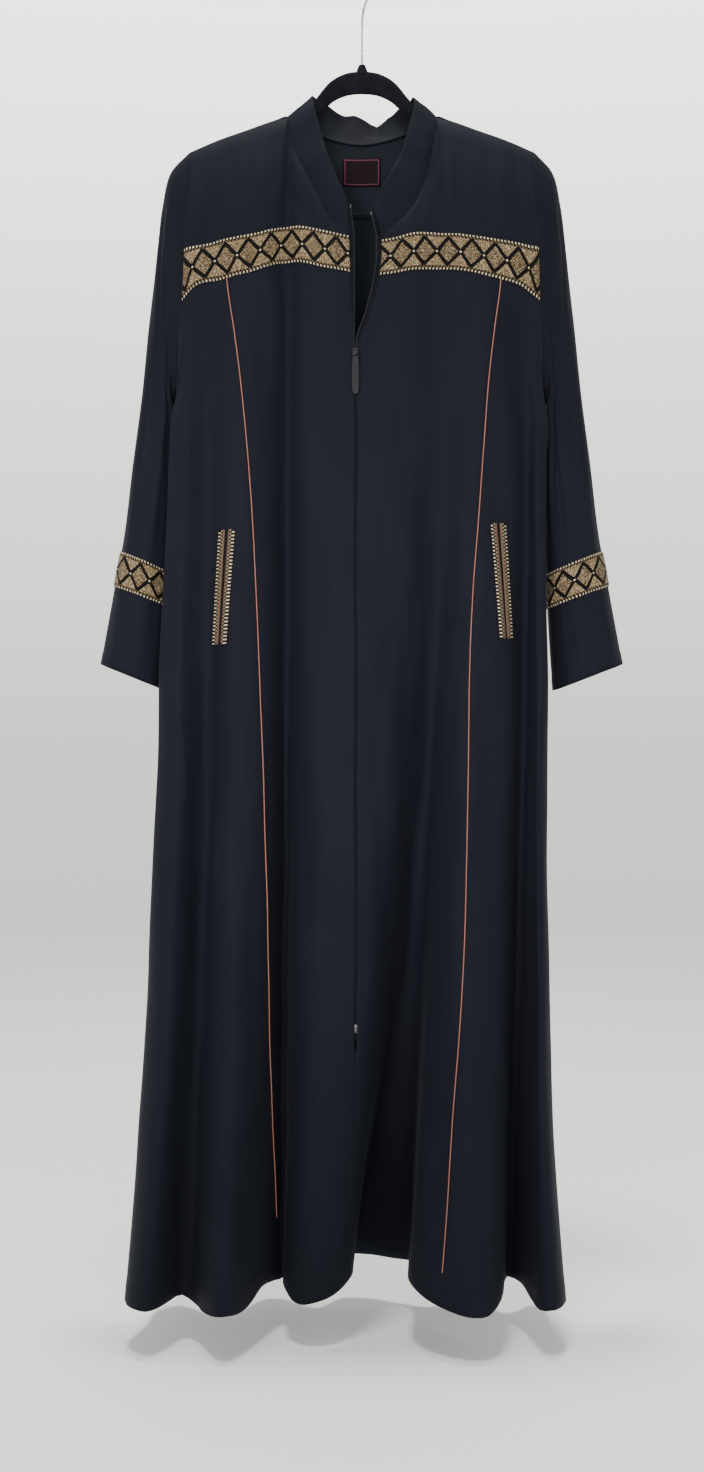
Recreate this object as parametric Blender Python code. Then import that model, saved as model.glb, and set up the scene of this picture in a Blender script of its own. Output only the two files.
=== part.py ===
# A floor-length abaya with a zip down its front, hanging on a flocked hanger.
# X runs from the wearer's right to the wearer's left, the front faces -Y and Z is up. The origin
# is the highest point inside the hanger's hook, where a rail would touch it.
# The sizes and tables are in millimetres, and the meshes are made in metres.

import math
from collections import namedtuple

import bmesh
import bpy
import numpy as np
from mathutils import Vector

MM = 0.001

# The garment's driving sizes
SHOULDER_Z = -239.0
HEM_Z = -1600.0
ARMPIT_Z = -530.0
CLOTH = 1.6
COLLAR_CLOTH = 2.2
TRIM = 1.2
HALF_SEAM = 0.15
CLEAR = 0.4
SLIDER_CLEAR = 0.8

# The grid: how many columns each panel has, and at which rows its seams lie
BACK_SHOULDER_COLUMNS = 8
BACK_NECK_COLUMNS = 12
BACK_COLUMNS = 2 * BACK_SHOULDER_COLUMNS + BACK_NECK_COLUMNS
BAND_TOP_ROW = 4
YOKE_ROW = 5
BAND_BOTTOM_ROW = 6
ARMPIT_ROW = 8
YOKE_STEPS = (0.0, 0.035, 0.3, 0.64)
COLUMNS_TO_ZIP = 6

# How the outlines are drawn: the levels that give the yokes and the band their columns, the
# points in one outline, how much room a narrow fold gets beside a wide one, and how soon the
# cloth leaves the shoulder
YOKE_LEVEL = -370.0
UNDER_BAND_LEVEL = -405.0
OUTLINE_POINTS = 900
FOLD_POWER = 0.5
FRONT_SWELL = 0.6
BACK_SWELL = 0.55

# How far a corner's mitre may reach, how a shoulder seam's wall lies under it, and from which
# angle an edge is drawn sharp
MITRE_LIMIT = 0.72
SHOULDER_SEAM_IN = (0, 0, -1.25)
SHARP_ANGLE = 50.0

# The levels of the rows from the band down, at the side seam and at the zip
Row = namedtuple("Row", "side zip")
LOWER_ROWS = (
    Row(-478, -442),
    Row(ARMPIT_Z, -492),
    Row(-600, -585),
    Row(-680, -675),
    Row(-770, -770),
    Row(-870, -870),
    Row(-980, -980),
    Row(-1090, -1090),
    Row(-1195, -1195),
    Row(-1295, -1295),
    Row(-1385, -1385),
    Row(-1465, -1465),
    Row(-1535, -1535),
    Row(HEM_Z, HEM_Z),
)

# The front's folds, from the wearer's right to the left. Each has its place (x, y) across the
# chest, the waist, the knees and the hem, and how far its hem hangs above the lobes' hem.
STATIONS = (-395.0, -707.0, -1180.0, HEM_Z)
Fold = namedtuple("Fold", "name chest waist knee hem lift")
FRONT_FOLDS = (
    Fold("lobe 1", (-200, -32), (-211, -42), (-222, -55), (-248, -88), 0),
    Fold("valley 1", (-181, -32), (-183, -31), (-188, -25), (-208, -30), 0),
    Fold("lobe 2", (-140, -39), (-147, -54), (-152, -76), (-160, -106), 0),
    Fold("lobe 2, inner side", (-105, -35), (-112, -43), (-118, -58), (-124, -44), 0),
    Fold("valley 2", (-88, -25), (-89, -17), (-93, 0), (-97, 12), 0),
    Fold("lobe 3, right side", (-72, -33), (-72, -36), (-77, -42), (-89, -38), 0),
    Fold("lobe 3", (-46, -38), (-38, -50), (-47, -63), (-52, -57), 0),
    Fold("lobe 3, left side", (50, -40), (44, -51), (14, -58), (-15, -32), 0),
    Fold("valley 3, right side", (92, -35), (86, -35), (54, 4), (-9, 74), 22),
    Fold("valley 3, left side", (99, -35), (94, -35), (70, 4), (54, 74), 10),
    Fold("lobe 4, right side", (112, -38), (107, -42), (86, -46), (60, -58), 0),
    Fold("lobe 4", (134, -39), (134, -52), (119, -80), (128, -103), 0),
    Fold("lobe 4, left side", (168, -37), (169, -41), (160, -56), (156, -84), 0),
    Fold("valley 4", (190, -32), (196, -12), (187, 0), (178, 20), 0),
    Fold("lobe 5", (201, -30), (208, -28), (206, -50), (213, -87), 0),
)
BACK_FOLDS = (
    Fold("ridge 1", (-185, 34), (-180, 43), (-206, 68), (-226, 98), 0),
    Fold("furrow 1", (-150, 34), (-147, 41), (-163, 52), (-172, 60), 0),
    Fold("ridge 2", (-105, 36), (-105, 53), (-110, 86), (-112, 127), 0),
    Fold("furrow 2", (-58, 35), (-56, 45), (-58, 62), (-58, 90), 0),
    Fold("ridge 3", (-10, 36), (-10, 53), (-14, 88), (-18, 130), 0),
    Fold("furrow 3", (58, 35), (62, 44), (72, 62), (88, 94), 0),
    Fold("ridge 4", (110, 36), (112, 53), (124, 84), (136, 124), 0),
    Fold("furrow 4", (155, 34), (152, 42), (170, 55), (180, 70), 0),
    Fold("ridge 5", (185, 33), (182, 42), (200, 66), (212, 100), 0),
)

# Where the armholes and, under them, the side seams run, and how deep the armholes are
Side = namedtuple("Side", "z right left front back")
SIDES = (
    Side(SHOULDER_Z, -207, 207, 0, 0),
    Side(-243.5, -207.7, 207.1, -6, 6),
    Side(-262, -209.1, 207.6, -14, 14),
    Side(-320, -210, 209, -22.5, 23),
    Side(-395, -213, 211, -25, 26),
    Side(-430, -215.5, 212.5, -24.5, 26),
    Side(-480, -219.5, 215, -19, 21),
    Side(ARMPIT_Z, -223, 217, 2, 2),
    Side(-592, -215, 210, 6, 6),
    Side(-650, -212, 206, 8, 8),
    Side(-760, -212, 205, 8, 8),
    Side(-850, -216, 208, 8, 8),
    Side(-980, -229, 215, 10, 10),
    Side(-1180, -241, 219, 12, 12),
    Side(HEM_Z, -262, 230, 20, 20),
)

# The outermost cloth beside the side seams: in front of them, and behind them
Edge = namedtuple("Edge", "z right left y")
FRONT_EDGE = (
    Edge(-395, -208, 206, -30),
    Edge(-480, -215.5, 211.5, -27),
    Edge(ARMPIT_Z, -220, 214, -11),
    Edge(-600, -229, 219, -16),
    Edge(-707, -234, 219.7, -18),
    Edge(-940, -243.5, 220, -21),
    Edge(-1180, -252, 220.5, -25),
    Edge(-1400, -263, 225, -38),
    Edge(HEM_Z, -277, 237, -55),
)
BACK_EDGE = (
    Edge(-395, -206, 204, 31),
    Edge(-480, -213, 209, 28),
    Edge(ARMPIT_Z, -218, 212, 19),
    Edge(-600, -211, 206, 27),
    Edge(-707, -208, 203, 30),
    Edge(-890, -214, 207, 34),
    Edge(-1180, -234, 215, 48),
    Edge(HEM_Z, -254, 226, 78),
)

# The piped seams, the folded edges of the opening, and the band's edges along the chest
Line = namedtuple("Line", "z x")
SEAM_RIGHT = (
    Line(-397, -161),
    Line(-550, -140.2),
    Line(-832, -121.8),
    Line(-1111, -113.5),
    Line(-1393, -107.6),
    Line(HEM_Z, -101),
)
SEAM_LEFT = (
    Line(-397, 164),
    Line(-515, 148.6),
    Line(-657, 138),
    Line(-797, 127.6),
    Line(-1076, 120.3),
    Line(-1215, 115.1),
    Line(-1426, 100.9),
    Line(HEM_Z, 88.5),
)
ZIP_X = -8.0
SLIDER_Z = -492.0
CLOSED_FRONT = (
    Line(SLIDER_Z, ZIP_X),
    Line(-500, ZIP_X),
    Line(-600, ZIP_X),
    Line(-1250, ZIP_X),
    Line(-1320, ZIP_X),
    Line(-1450, -10),
    Line(HEM_Z, -15),
)
OPENING_RIGHT = (Line(-345, -15.5), Line(-400, -14.6), Line(-450, -11)) + CLOSED_FRONT
OPENING_LEFT = (Line(-345, 22.5), Line(-400, 20.5), Line(-450, 6.5)) + CLOSED_FRONT
Band = namedtuple("Band", "x top bottom")
CHEST_BAND = (
    Band(-213, -363, -425),
    Band(-199, -361, -410),
    Band(-165, -354, -401),
    Band(-129, -348, -392.5),
    Band(-83, -336.5, -378.5),
    Band(-46, -343.5, -387),
    Band(-15.5, -351, -393),
    Band(22.5, -356, -397),
    Band(62, -346.5, -390.5),
    Band(100, -347, -389.5),
    Band(158, -354, -400),
    Band(188, -358, -408.5),
    Band(211, -361, -425),
)

# The shoulder seam from its tip to the neck, and the neckline
Point = namedtuple("Point", "x y z")
SHOULDER = (
    Point(207, 0, SHOULDER_Z),
    Point(199, 0, -235.5),
    Point(172, 0, -224),
    Point(138, 0, -212),
    Point(107, 0, -201),
    Point(89.5, 0, -196),
)
FRONT_NECK_RIGHT = (
    Point(-15.5, -38, -342.5),
    Point(-34.4, -35, -329),
    Point(-53.4, -30, -296),
    Point(-72.6, -21, -257.3),
    Point(-84.8, -12.5, -227.6),
    Point(-88, -8.5, -210),
    Point(-89.3, -5, -200.5),
    Point(-89.5, 0, -196),
)
FRONT_NECK_LEFT = (
    Point(22.5, -39, -347.5),
    Point(43.4, -35, -331),
    Point(61.4, -29, -309),
    Point(76, -20, -272.7),
    Point(84.7, -12.5, -233.5),
    Point(87.6, -8.5, -210),
    Point(89.2, -5, -200.5),
    Point(89.5, 0, -196),
)
BACK_NECK_HALF = (
    Point(89.5, 0, -196),
    Point(88.3, 5, -199),
    Point(84, 9, -201),
    Point(75, 16, -204),
    Point(50, 26, -209.5),
    Point(34, 31, -214),
    Point(0, 35, -218),
)
BACK_NECK_STEPS = (0.0, 0.06, 0.15, 0.27, 0.44, 0.7, 1.0)

# What differs between the two fronts. The neck steps are the places of the columns along the
# neckline, from the zip to the shoulder.
Half = namedtuple("Half", "sign side_columns centre_columns seam opening neckline neck_steps")
HALVES = {
    "right": Half(
        -1,
        19,
        13,
        SEAM_RIGHT,
        OPENING_RIGHT,
        FRONT_NECK_RIGHT,
        (0.0, 0.15, 0.3, 0.45, 0.6, 0.74, 0.87, 0.96, 1.0),
    ),
    "left": Half(
        1,
        18,
        18,
        SEAM_LEFT,
        OPENING_LEFT,
        FRONT_NECK_LEFT,
        (0.0, 0.12, 0.24, 0.36, 0.48, 0.6, 0.74, 0.87, 0.96, 1.0),
    ),
}

# The collar's free edge. `along` counts from the zip (0) by the right shoulder (1), the middle of
# the back (2) and the left shoulder (3) to the zip again (4), the same way as the neckline.
Rim = namedtuple("Rim", "along x y z")
COLLAR_RIM = (
    Rim(0, -16.7, -41, -311),
    Rim(0.35, -32, -34.5, -276),
    Rim(0.65, -45, -23, -237),
    Rim(0.81, -52, -14, -208),
    Rim(0.9, -56, -9.5, -191),
    Rim(0.965, -59, -5, -179),
    Rim(1.0, -60, 0, -172.5),
    Rim(1.15, -57, 12, -169),
    Rim(1.35, -52, 28, -165.5),
    Rim(1.6, -41, 43, -168),
    Rim(1.8, -22, 51, -179),
    Rim(1.9, -10, 49, -177),
    Rim(2.0, 3, 53, -183),
    Rim(2.2, 21, 55, -190),
    Rim(2.4, 37, 48, -179),
    Rim(2.65, 50, 33, -172),
    Rim(2.85, 59, 14, -174),
    Rim(3.0, 62.5, 0, -174.5),
    Rim(3.035, 63, -5, -183),
    Rim(3.1, 60.5, -9.5, -194),
    Rim(3.19, 57, -14, -209),
    Rim(3.35, 49, -23, -240),
    Rim(3.65, 31, -34.5, -278),
    Rim(4.0, 13, -41, -319),
)
COLLAR_ROWS = 3
COLLAR_BULGE = 1.5

# The sleeves: where their upper and under edges run from the shoulder to the hem
Arm = namedtuple("Arm", "outer_x outer_z under_x under_z middle_y depth")
ARM = (
    Arm(207, SHOULDER_Z, 217, ARMPIT_Z, 0, 26),
    Arm(229, -261, 222.5, -540, 6, 26),
    Arm(239, -298, 223.5, -560, 10, 26.5),
    Arm(245, -341, 222, -590, 13, 27),
    Arm(250.5, -388, 220, -622, 16, 28),
    Arm(257, -444, 219.2, -654, 18, 29),
    Arm(265, -522, 219.8, -686, 20, 30),
    Arm(277, -612, 221, -716, 21, 31.5),
    Arm(291, -716, 223, -744, 22, 33.5),
    Arm(295.5, -737, 224, -764.5, 22, 34),
    Arm(299, -758, 225.5, -785, 22.5, 34.5),
    Arm(307.5, -806, 229, -836, 23, 36),
    Arm(316, -852, 233, -884, 24, 37),
)
SLEEVE_BAND_ROW = 8
CUFF_ROW = 9
RIGHT_OUTER_SHIFT = 0.8
RIGHT_UNDER_SHIFT = 5.0

# In which ring a sleeve has turned from the armhole's shape into a flat oval
OVAL_RING = 6
OVAL_POWER = 0.8

# What is sewn on
Strip = namedtuple("Strip", "name top_z bottom_z top_in top_out bottom_in bottom_out")
POCKET_STRIPS = (
    Strip("pocket_trim_right_side", -697.6, -831.9, -160.2, -168.2, -168.5, -176.2),
    Strip("pocket_trim_right_front", -697.6, -831.9, -148.4, -156.4, -158.0, -165.8),
    Strip("pocket_trim_left_front", -689.7, -824.4, 149.8, 157.6, 160.6, 168.3),
    Strip("pocket_trim_left_side", -689.7, -824.4, 160.6, 168.4, 169.8, 177.4),
)
PIPING_RADIUS = 1.1
PIPING_LIFT = 0.8
PIPING_SIDES = 6
PIPING_LEAST_STEP = 8.0
PIPING_UNDER_BAND = 1.5
PIPING_RIGHT_END = -1519.0
PIPING_LEFT_END = -1556.0
STRIP_LIFT = 0.9
STRIP_ROWS = 8
BAND_LIFT = 0.5
TAPE = 1.0
TAPE_SHOWN = 6.0
TAPE_BEHIND = 0.4
TAPE_BEHIND_COLLAR = 0.7
TAPE_BELOW_STOP = 20.0
TAPE_FOLD = 1.5
BOTTOM_STOP = (5.0, 2.0, 11.5)
BOTTOM_STOP_Z = -1280.0
BOTTOM_STOP_LIFT = 0.6
LABEL = (46.0, 34.0, 0.7)
LABEL_MIDDLE = (0.0, -251.0)
LABEL_LIFT = 0.7

# The slider and its pull tab
SLIDER = (8.5, 3.0, 11.0)
LUG = (1.3, 4.2, 4.4)
PIN_RADIUS = 0.8
EYE_HOLE = 1.35
EYE_RADIUS = 2.7
EYE_WIDTH = 4.2
TAB = (9.0, 1.5, 44.0)
PIN_IN_LUG = 1.4
PIN_IN_SLIDER = 4.0
LUG_SUNK = 0.6
TAB_BELOW_PIN = 3.6
TAB_NECK = 4.0
ROD_SIDES = 24

# The hanger
HANGER_DEPTH = 5.0
HANGER_CHAMFER = 1.4
Outline = namedtuple("Outline", "outer inner")
HANGER_HALF = (
    Outline((0, -142), (0, -169.4)),
    Outline((20, -144.5), (18, -171.2)),
    Outline((38.4, -154.5), (33, -177.5)),
    Outline((55, -174), (44.5, -187)),
    Outline((64, -183.5), (56, -196)),
    Outline((75, -191.8), (68, -205)),
    Outline((89, -201.2), (85, -214.5)),
    Outline((107, -206), (102, -220)),
    Outline((138, -215.8), (133, -230)),
    Outline((172, -228), (167, -242)),
    Outline((197, -239.4), (184, -251)),
    Outline((203, -247), (189, -259)),
    Outline((203, -292), (193, -292)),
    Outline((199, -309), (190, -304)),
    Outline((188, -319), (182, -311)),
    Outline((120, -320), (118, -312)),
    Outline((0, -320), (0, -312)),
)
NUB = (14.0, HANGER_DEPTH + 1.0, 11.0)
NUB_TOP = -134.0
SOCKET_DEPTH = 6.0
SOCKET_CLEAR = 0.3
HOOK_WIRE = 1.4
HOOK_RADIUS = 21.0
HOOK_TURN = (-20, 205)
HOOK_RINGS = 44
HOOK_SIDES = 8
HOOK_STEM = ((0, -136), (0, -118), (0, -100), (0.2, -86), (1.6, -70), (6.5, -55), (14, -42))

CREPE = ("crepe", (0.012, 0.013, 0.018), 0.75, 0.0)
GOLD_BRAID = ("gold braid", (0.45, 0.36, 0.19), 0.55, 0.2)
COPPER = ("copper piping", (0.55, 0.2, 0.07), 0.45, 0.0)
TAPE_CLOTH = ("zip tape", (0.01, 0.01, 0.013), 0.7, 0.0)
BLACK_METAL = ("black metal", (0.02, 0.02, 0.022), 0.35, 0.6)
STEEL = ("steel", (0.62, 0.62, 0.62), 0.25, 1.0)
FLOCK = ("black flock", (0.008, 0.008, 0.009), 0.95, 0.0)
WOVEN_LABEL = ("woven label", (0.13, 0.02, 0.035), 0.7, 0.0)


# Smooth lines through the tables


def slopes(knots, values):
    # The slope of a smooth line through a table's values, at each of its rows
    steps = np.diff(values, axis=0) / np.diff(knots)[:, None]
    widths = np.diff(knots)[:, None]
    inner = (steps[1:] * widths[:-1] + steps[:-1] * widths[1:]) / (widths[1:] + widths[:-1])
    return np.vstack([steps[:1], inner, steps[-1:]])


def smooth_through(knots, values, at):
    # The values of that line at other places. Outside the table it stays at the end's value.
    knots = np.asarray(knots, float)
    values = np.asarray(values, float).reshape(len(knots), -1)
    if knots[0] > knots[-1]:
        knots = knots[::-1]
        values = values[::-1]
    tangents = slopes(knots, values)
    at = np.clip(np.atleast_1d(at), knots[0], knots[-1])
    index = np.clip(np.searchsorted(knots, at) - 1, 0, len(knots) - 2)
    width = (knots[index + 1] - knots[index])[:, None]
    t = (at - knots[index])[:, None] / width
    start = (1 + 2 * t) * (1 - t) ** 2 * values[index]
    leave = t * (1 - t) ** 2 * width * tangents[index]
    end = t**2 * (3 - 2 * t) * values[index + 1]
    arrive = t**2 * (t - 1) * width * tangents[index + 1]
    return start + leave + end + arrive


def look_up(rows, key, fields, at):
    # A table's fields at a place given in one of its columns
    knots = [getattr(row, key) for row in rows]
    values = [[getattr(row, field) for field in fields] for row in rows]
    return smooth_through(knots, values, at)[0]


def along_points(points, fractions):
    # Places along a smooth line through points, by fractions of its length
    points = np.asarray(points, float)
    reach = np.r_[0, np.cumsum(np.linalg.norm(np.diff(points, axis=0), axis=1))]
    return smooth_through(reach / reach[-1], points, fractions)


# The cloth around the body


def folds_at(folds, z):
    # Each fold's x, y and hem lift at a height
    values = [fold.chest + fold.waist + fold.knee + fold.hem for fold in folds]
    by_station = np.array(values, float).reshape(len(folds), len(STATIONS), 2)
    places = smooth_through(STATIONS, by_station.transpose(1, 0, 2).reshape(len(STATIONS), -1), z)
    rise = np.clip((STATIONS[2] - z) / (STATIONS[2] - HEM_Z), 0, 1) ** 2
    lifts = np.array([[fold.lift * rise] for fold in folds])
    return np.hstack([places.reshape(-1, 2), lifts])


def section(front, z):
    # The cloth's outline at a height, from the right side seam to the left one, as many points
    # with x, y and hem lift
    side = look_up(SIDES, "z", ("right", "left", "front" if front else "back"), z)
    edge = look_up(FRONT_EDGE if front else BACK_EDGE, "z", ("right", "left", "y"), z)
    keys = np.vstack(
        [
            (side[0], side[2], 0),
            (edge[0], edge[2], 0),
            folds_at(FRONT_FOLDS if front else BACK_FOLDS, z),
            (edge[1], edge[2], 0),
            (side[1], side[2], 0),
        ]
    )
    gaps = np.linalg.norm(np.diff(keys[:, :2], axis=0), axis=1) ** FOLD_POWER
    knots = np.r_[0, np.cumsum(gaps)]
    return smooth_through(knots, keys, np.linspace(0, knots[-1], OUTLINE_POINTS))


def crossing(outline, x):
    # The first place in a section where it passes x, going from right to left
    past = np.nonzero(outline[:, 0] > x)[0]
    return past[0] if len(past) else len(outline) - 1


def spread(outline, start, end, count):
    # Points spread over part of a section, closer where its folds are narrow
    places = np.linspace(start, end, count + 1)
    columns = [np.interp(places, np.arange(len(outline)), outline[:, k]) for k in range(3)]
    return np.stack(columns, axis=1)


def side_x(which, z):
    return look_up(SIDES, "z", (which,), z)[0]


def neck_column(half):
    return half.side_columns + half.centre_columns - len(half.neck_steps) + 1


def front_row(which, z):
    # A row's points from the armhole or side seam to the zip: x, y and hem lift
    half = HALVES[which]
    outline = section(True, z)
    seam = crossing(outline, look_up(half.seam, "z", "x", z)[0])
    middle = crossing(outline, look_up(half.opening, "z", "x", z)[0])
    if which == "left":
        centre = spread(outline, middle, seam, half.centre_columns)
        outside = spread(outline, seam, len(outline) - 1, half.side_columns)
        return np.vstack([centre, outside[1:]])[::-1]
    outside = spread(outline, 0, seam, half.side_columns)
    centre = spread(outline, seam, middle, half.centre_columns)
    return np.vstack([outside, centre[1:]])


def front_top(which, yoke):
    # The upper edge of a yoke: the shoulder seam, then the neckline down to the zip
    half = HALVES[which]
    neck = neck_column(half)
    share = (yoke[: neck + 1, 0] - yoke[0, 0]) / (yoke[neck, 0] - yoke[0, 0])
    seam = along_points([(half.sign * p.x, p.y, p.z) for p in SHOULDER], share)
    neckline = along_points(half.neckline, half.neck_steps)
    return np.vstack([seam, neckline[::-1][1:]])


def front_grid(which):
    # All points of one front half, by rows from the shoulder to the hem
    half = HALVES[which]
    columns = half.side_columns + half.centre_columns
    share = np.linspace(0, 1, columns + 1)
    share = share * share * (3 - 2 * share)
    yoke = front_row(which, YOKE_LEVEL)
    top = front_top(which, yoke)
    grid = []
    band = np.array([look_up(CHEST_BAND, "x", ("top", "bottom"), x) for x in yoke[:, 0]])
    seam_z = band.mean(axis=1)
    yoke[0, 0] = side_x(which, seam_z[0])
    down_to_band = (band[:, 0] - top[:, 2]) / (seam_z - top[:, 2])
    for row in range(YOKE_ROW + 1):
        if row < BAND_TOP_ROW:
            even = np.linspace(0, 1, BAND_TOP_ROW + 1)[row]
            beyond_neck = np.arange(columns + 1) - neck_column(half)
            towards_zip = np.clip(beyond_neck / COLUMNS_TO_ZIP, 0, 1)
            step = YOKE_STEPS[row] + (even - YOKE_STEPS[row]) * towards_zip
            down = down_to_band * step
        else:
            down = down_to_band if row == BAND_TOP_ROW else np.ones(columns + 1)
        x = top[:, 0] + (yoke[:, 0] - top[:, 0]) * down
        z = top[:, 2] + (seam_z - top[:, 2]) * down
        swell = (1 - (1 - down) ** 2) ** FRONT_SWELL
        y = top[:, 1] + (yoke[:, 1] - top[:, 1]) * swell
        x[0] = side_x(which, z[0])
        grid.append(np.stack([x, y, z], axis=1))
    below = front_row(which, UNDER_BAND_LEVEL)
    low_band = [look_up(CHEST_BAND, "x", ("bottom",), x)[0] for x in below[:, 0]]
    below[0, 0] = side_x(which, low_band[0])
    grid.append(np.stack([below[:, 0], below[:, 1], low_band], axis=1))
    for level in LOWER_ROWS:
        places = front_row(which, 0.5 * (level.side + level.zip))
        z = level.side + (level.zip - level.side) * share
        if level.side != level.zip:
            places[0] = front_row(which, level.side)[0]
            places[-1] = front_row(which, level.zip)[-1]
        places[:, 2] += z
        grid.append(places)
    return np.array(grid)


def back_grid(right_z, left_z):
    # The back's points. Its first rows meet the fronts' rows along the armholes.
    half = [(-p.x, p.y, p.z) for p in BACK_NECK_HALF]
    neck_right = along_points(half, BACK_NECK_STEPS)
    neck = np.vstack([neck_right, (neck_right * (-1, 1, 1))[::-1][1:]])
    even = np.linspace(0, 1, BACK_SHOULDER_COLUMNS + 1)
    seam_left = along_points(SHOULDER, even)
    top = np.vstack([(seam_left * (-1, 1, 1))[:-1], neck, seam_left[::-1][1:]])
    across = np.linspace(0, 1, BACK_COLUMNS + 1)
    grid = []
    outline = section(False, 0.5 * (LOWER_ROWS[0].side + ARMPIT_Z))
    chest = spread(outline, 0, len(outline) - 1, BACK_COLUMNS)
    for row in range(ARMPIT_ROW):
        down_right = (right_z[row] - SHOULDER_Z) / (ARMPIT_Z - SHOULDER_Z)
        down_left = (left_z[row] - SHOULDER_Z) / (ARMPIT_Z - SHOULDER_Z)
        down = down_right + (down_left - down_right) * across
        x = top[:, 0] + (chest[:, 0] - top[:, 0]) * down
        z = top[:, 2] + (ARMPIT_Z - top[:, 2]) * down
        swell = (1 - (1 - down) ** 2) ** BACK_SWELL
        y = top[:, 1] + (chest[:, 1] - top[:, 1]) * swell
        for column, level, which in ((0, right_z[row], "right"), (-1, left_z[row], "left")):
            x[column] = side_x(which, level)
            z[column] = level
            y[column] = look_up(SIDES, "z", ("back",), level)[0]
        y[1] = 0.5 * (y[0] + y[2])
        y[-2] = 0.5 * (y[-1] + y[-3])
        grid.append(np.stack([x, y, z], axis=1))
    for level in LOWER_ROWS[1:]:
        outline = section(False, level.side)
        places = spread(outline, 0, len(outline) - 1, BACK_COLUMNS)
        places[:, 2] = level.side
        grid.append(places)
    return np.array(grid)


def armhole_y(grid):
    # Puts a front's armhole edge on the same loop as the back's, from the shoulder to the band
    for row in range(BAND_BOTTOM_ROW + 1):
        grid[row, 0, 1] = look_up(SIDES, "z", ("front",), grid[row, 0, 2])[0]
        grid[row, 1, 1] = 0.5 * (grid[row, 0, 1] + grid[row, 2, 1])


def sleeve_grid(left, loop):
    # Rings from the armhole to the sleeve's hem. They start in the armhole's own shape and turn
    # into flat ovals.
    sign = 1 if left else -1
    count = len(loop)
    shoulder = loop[0]
    armpit = loop[ARMPIT_ROW]
    chord = armpit - shoulder
    start_share = (loop - shoulder) @ chord / (chord @ chord)
    start_depth = loop[:, 1] - (shoulder[1] + start_share * chord[1])
    turn = 2 * math.pi * np.arange(count) / count
    rings = [loop.copy()]
    outer_shift = 0 if left else RIGHT_OUTER_SHIFT
    under_shift = 0 if left else RIGHT_UNDER_SHIFT
    for number, arm in enumerate(ARM[1:], start=1):
        outer = np.array([sign * (arm.outer_x + outer_shift), arm.middle_y, arm.outer_z])
        under = np.array([sign * (arm.under_x + under_shift), arm.middle_y, arm.under_z])
        blend = min(1.0, number / OVAL_RING) ** OVAL_POWER
        share = start_share + (0.5 - 0.5 * np.cos(turn) - start_share) * blend
        depth = start_depth + (-arm.depth * np.sin(turn) - start_depth) * blend
        ring = outer + np.outer(share, under - outer)
        ring[:, 1] += depth
        rings.append(ring)
    return np.array(rings)


def collar_grid(base):
    # The stand collar from the neckline up to its free edge
    back_share = np.array(BACK_NECK_STEPS)
    along = np.concatenate(
        [
            np.array(HALVES["right"].neck_steps),
            1 + back_share[1:],
            2 + (1 - back_share[::-1])[1:],
            3 + (1 - np.array(HALVES["left"].neck_steps)[::-1])[1:],
        ]
    )
    rim = np.array([look_up(COLLAR_RIM, "along", ("x", "y", "z"), place) for place in along])
    middle = base.mean(axis=0)
    rows = []
    for row in range(COLLAR_ROWS + 1):
        up = row / COLLAR_ROWS
        points = base + (rim - base) * up
        outward = points - middle
        outward[:, 2] = 0
        outward /= np.maximum(np.linalg.norm(outward, axis=1), 1e-6)[:, None]
        rows.append(points + outward * COLLAR_BULGE * math.sin(math.pi * up))
    return np.array(rows)


# From grids to walls


class Skin:
    # All the cloth's grids together, so that pieces that meet at a seam share its direction

    def __init__(self):
        self.faces = {}
        self.fixed = {}

    def key(self, point):
        return tuple(np.round(np.asarray(point) * 20).astype(int))

    def add(self, grid, closed=False, flip=False):
        rows, columns = grid.shape[:2]
        last = columns if closed else columns - 1
        for r in range(rows - 1):
            for c in range(last):
                corners = self.corners(grid, r, c, columns)
                normal = np.cross(corners[2] - corners[0], corners[3] - corners[1])
                size = np.linalg.norm(normal)
                if size < 1e-6:
                    continue
                normal = normal / size * (-1 if flip else 1)
                for corner in corners:
                    self.faces.setdefault(self.key(corner), []).append((normal, size))

    def corners(self, grid, r, c, columns):
        after = (c + 1) % columns
        return grid[r, c], grid[r + 1, c], grid[r + 1, after], grid[r, after]

    def inward(self, point, wall):
        # How far and which way the inner point lies from an outer one
        key = self.key(point)
        if key in self.fixed:
            return self.fixed[key] * wall
        found = self.faces[key]
        total = sum(normal * math.sqrt(size) for normal, size in found)
        mean = total / np.linalg.norm(total)
        least = min(normal @ mean for normal, size in found)
        return -mean * wall / max(MITRE_LIMIT, least)


def trimmed(grid, edges, closed):
    # The grid with its seam edges drawn back, so that two pieces lie a seam's gap apart
    moved = grid.copy()
    if "top" in edges:
        moved[0] += step_towards(grid[0], grid[1])
    if "bottom" in edges:
        moved[-1] += step_towards(grid[-1], grid[-2])
    if not closed and "start" in edges:
        moved[:, 0] += step_towards(grid[:, 0], grid[:, 1])
    if not closed and "end" in edges:
        moved[:, -1] += step_towards(grid[:, -1], grid[:, -2])
    return moved


def step_towards(edge, inner):
    step = inner - edge
    return HALF_SEAM * step / np.maximum(np.linalg.norm(step, axis=-1, keepdims=True), 1e-6)


def two_faces(skin, grid, wall, edges, closed=False):
    # The outer and inner points of a piece of cloth
    inner = np.array([[point + skin.inward(point, wall) for point in row] for row in grid])
    return trimmed(grid, edges, closed), trimmed(inner, edges, closed)


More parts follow.
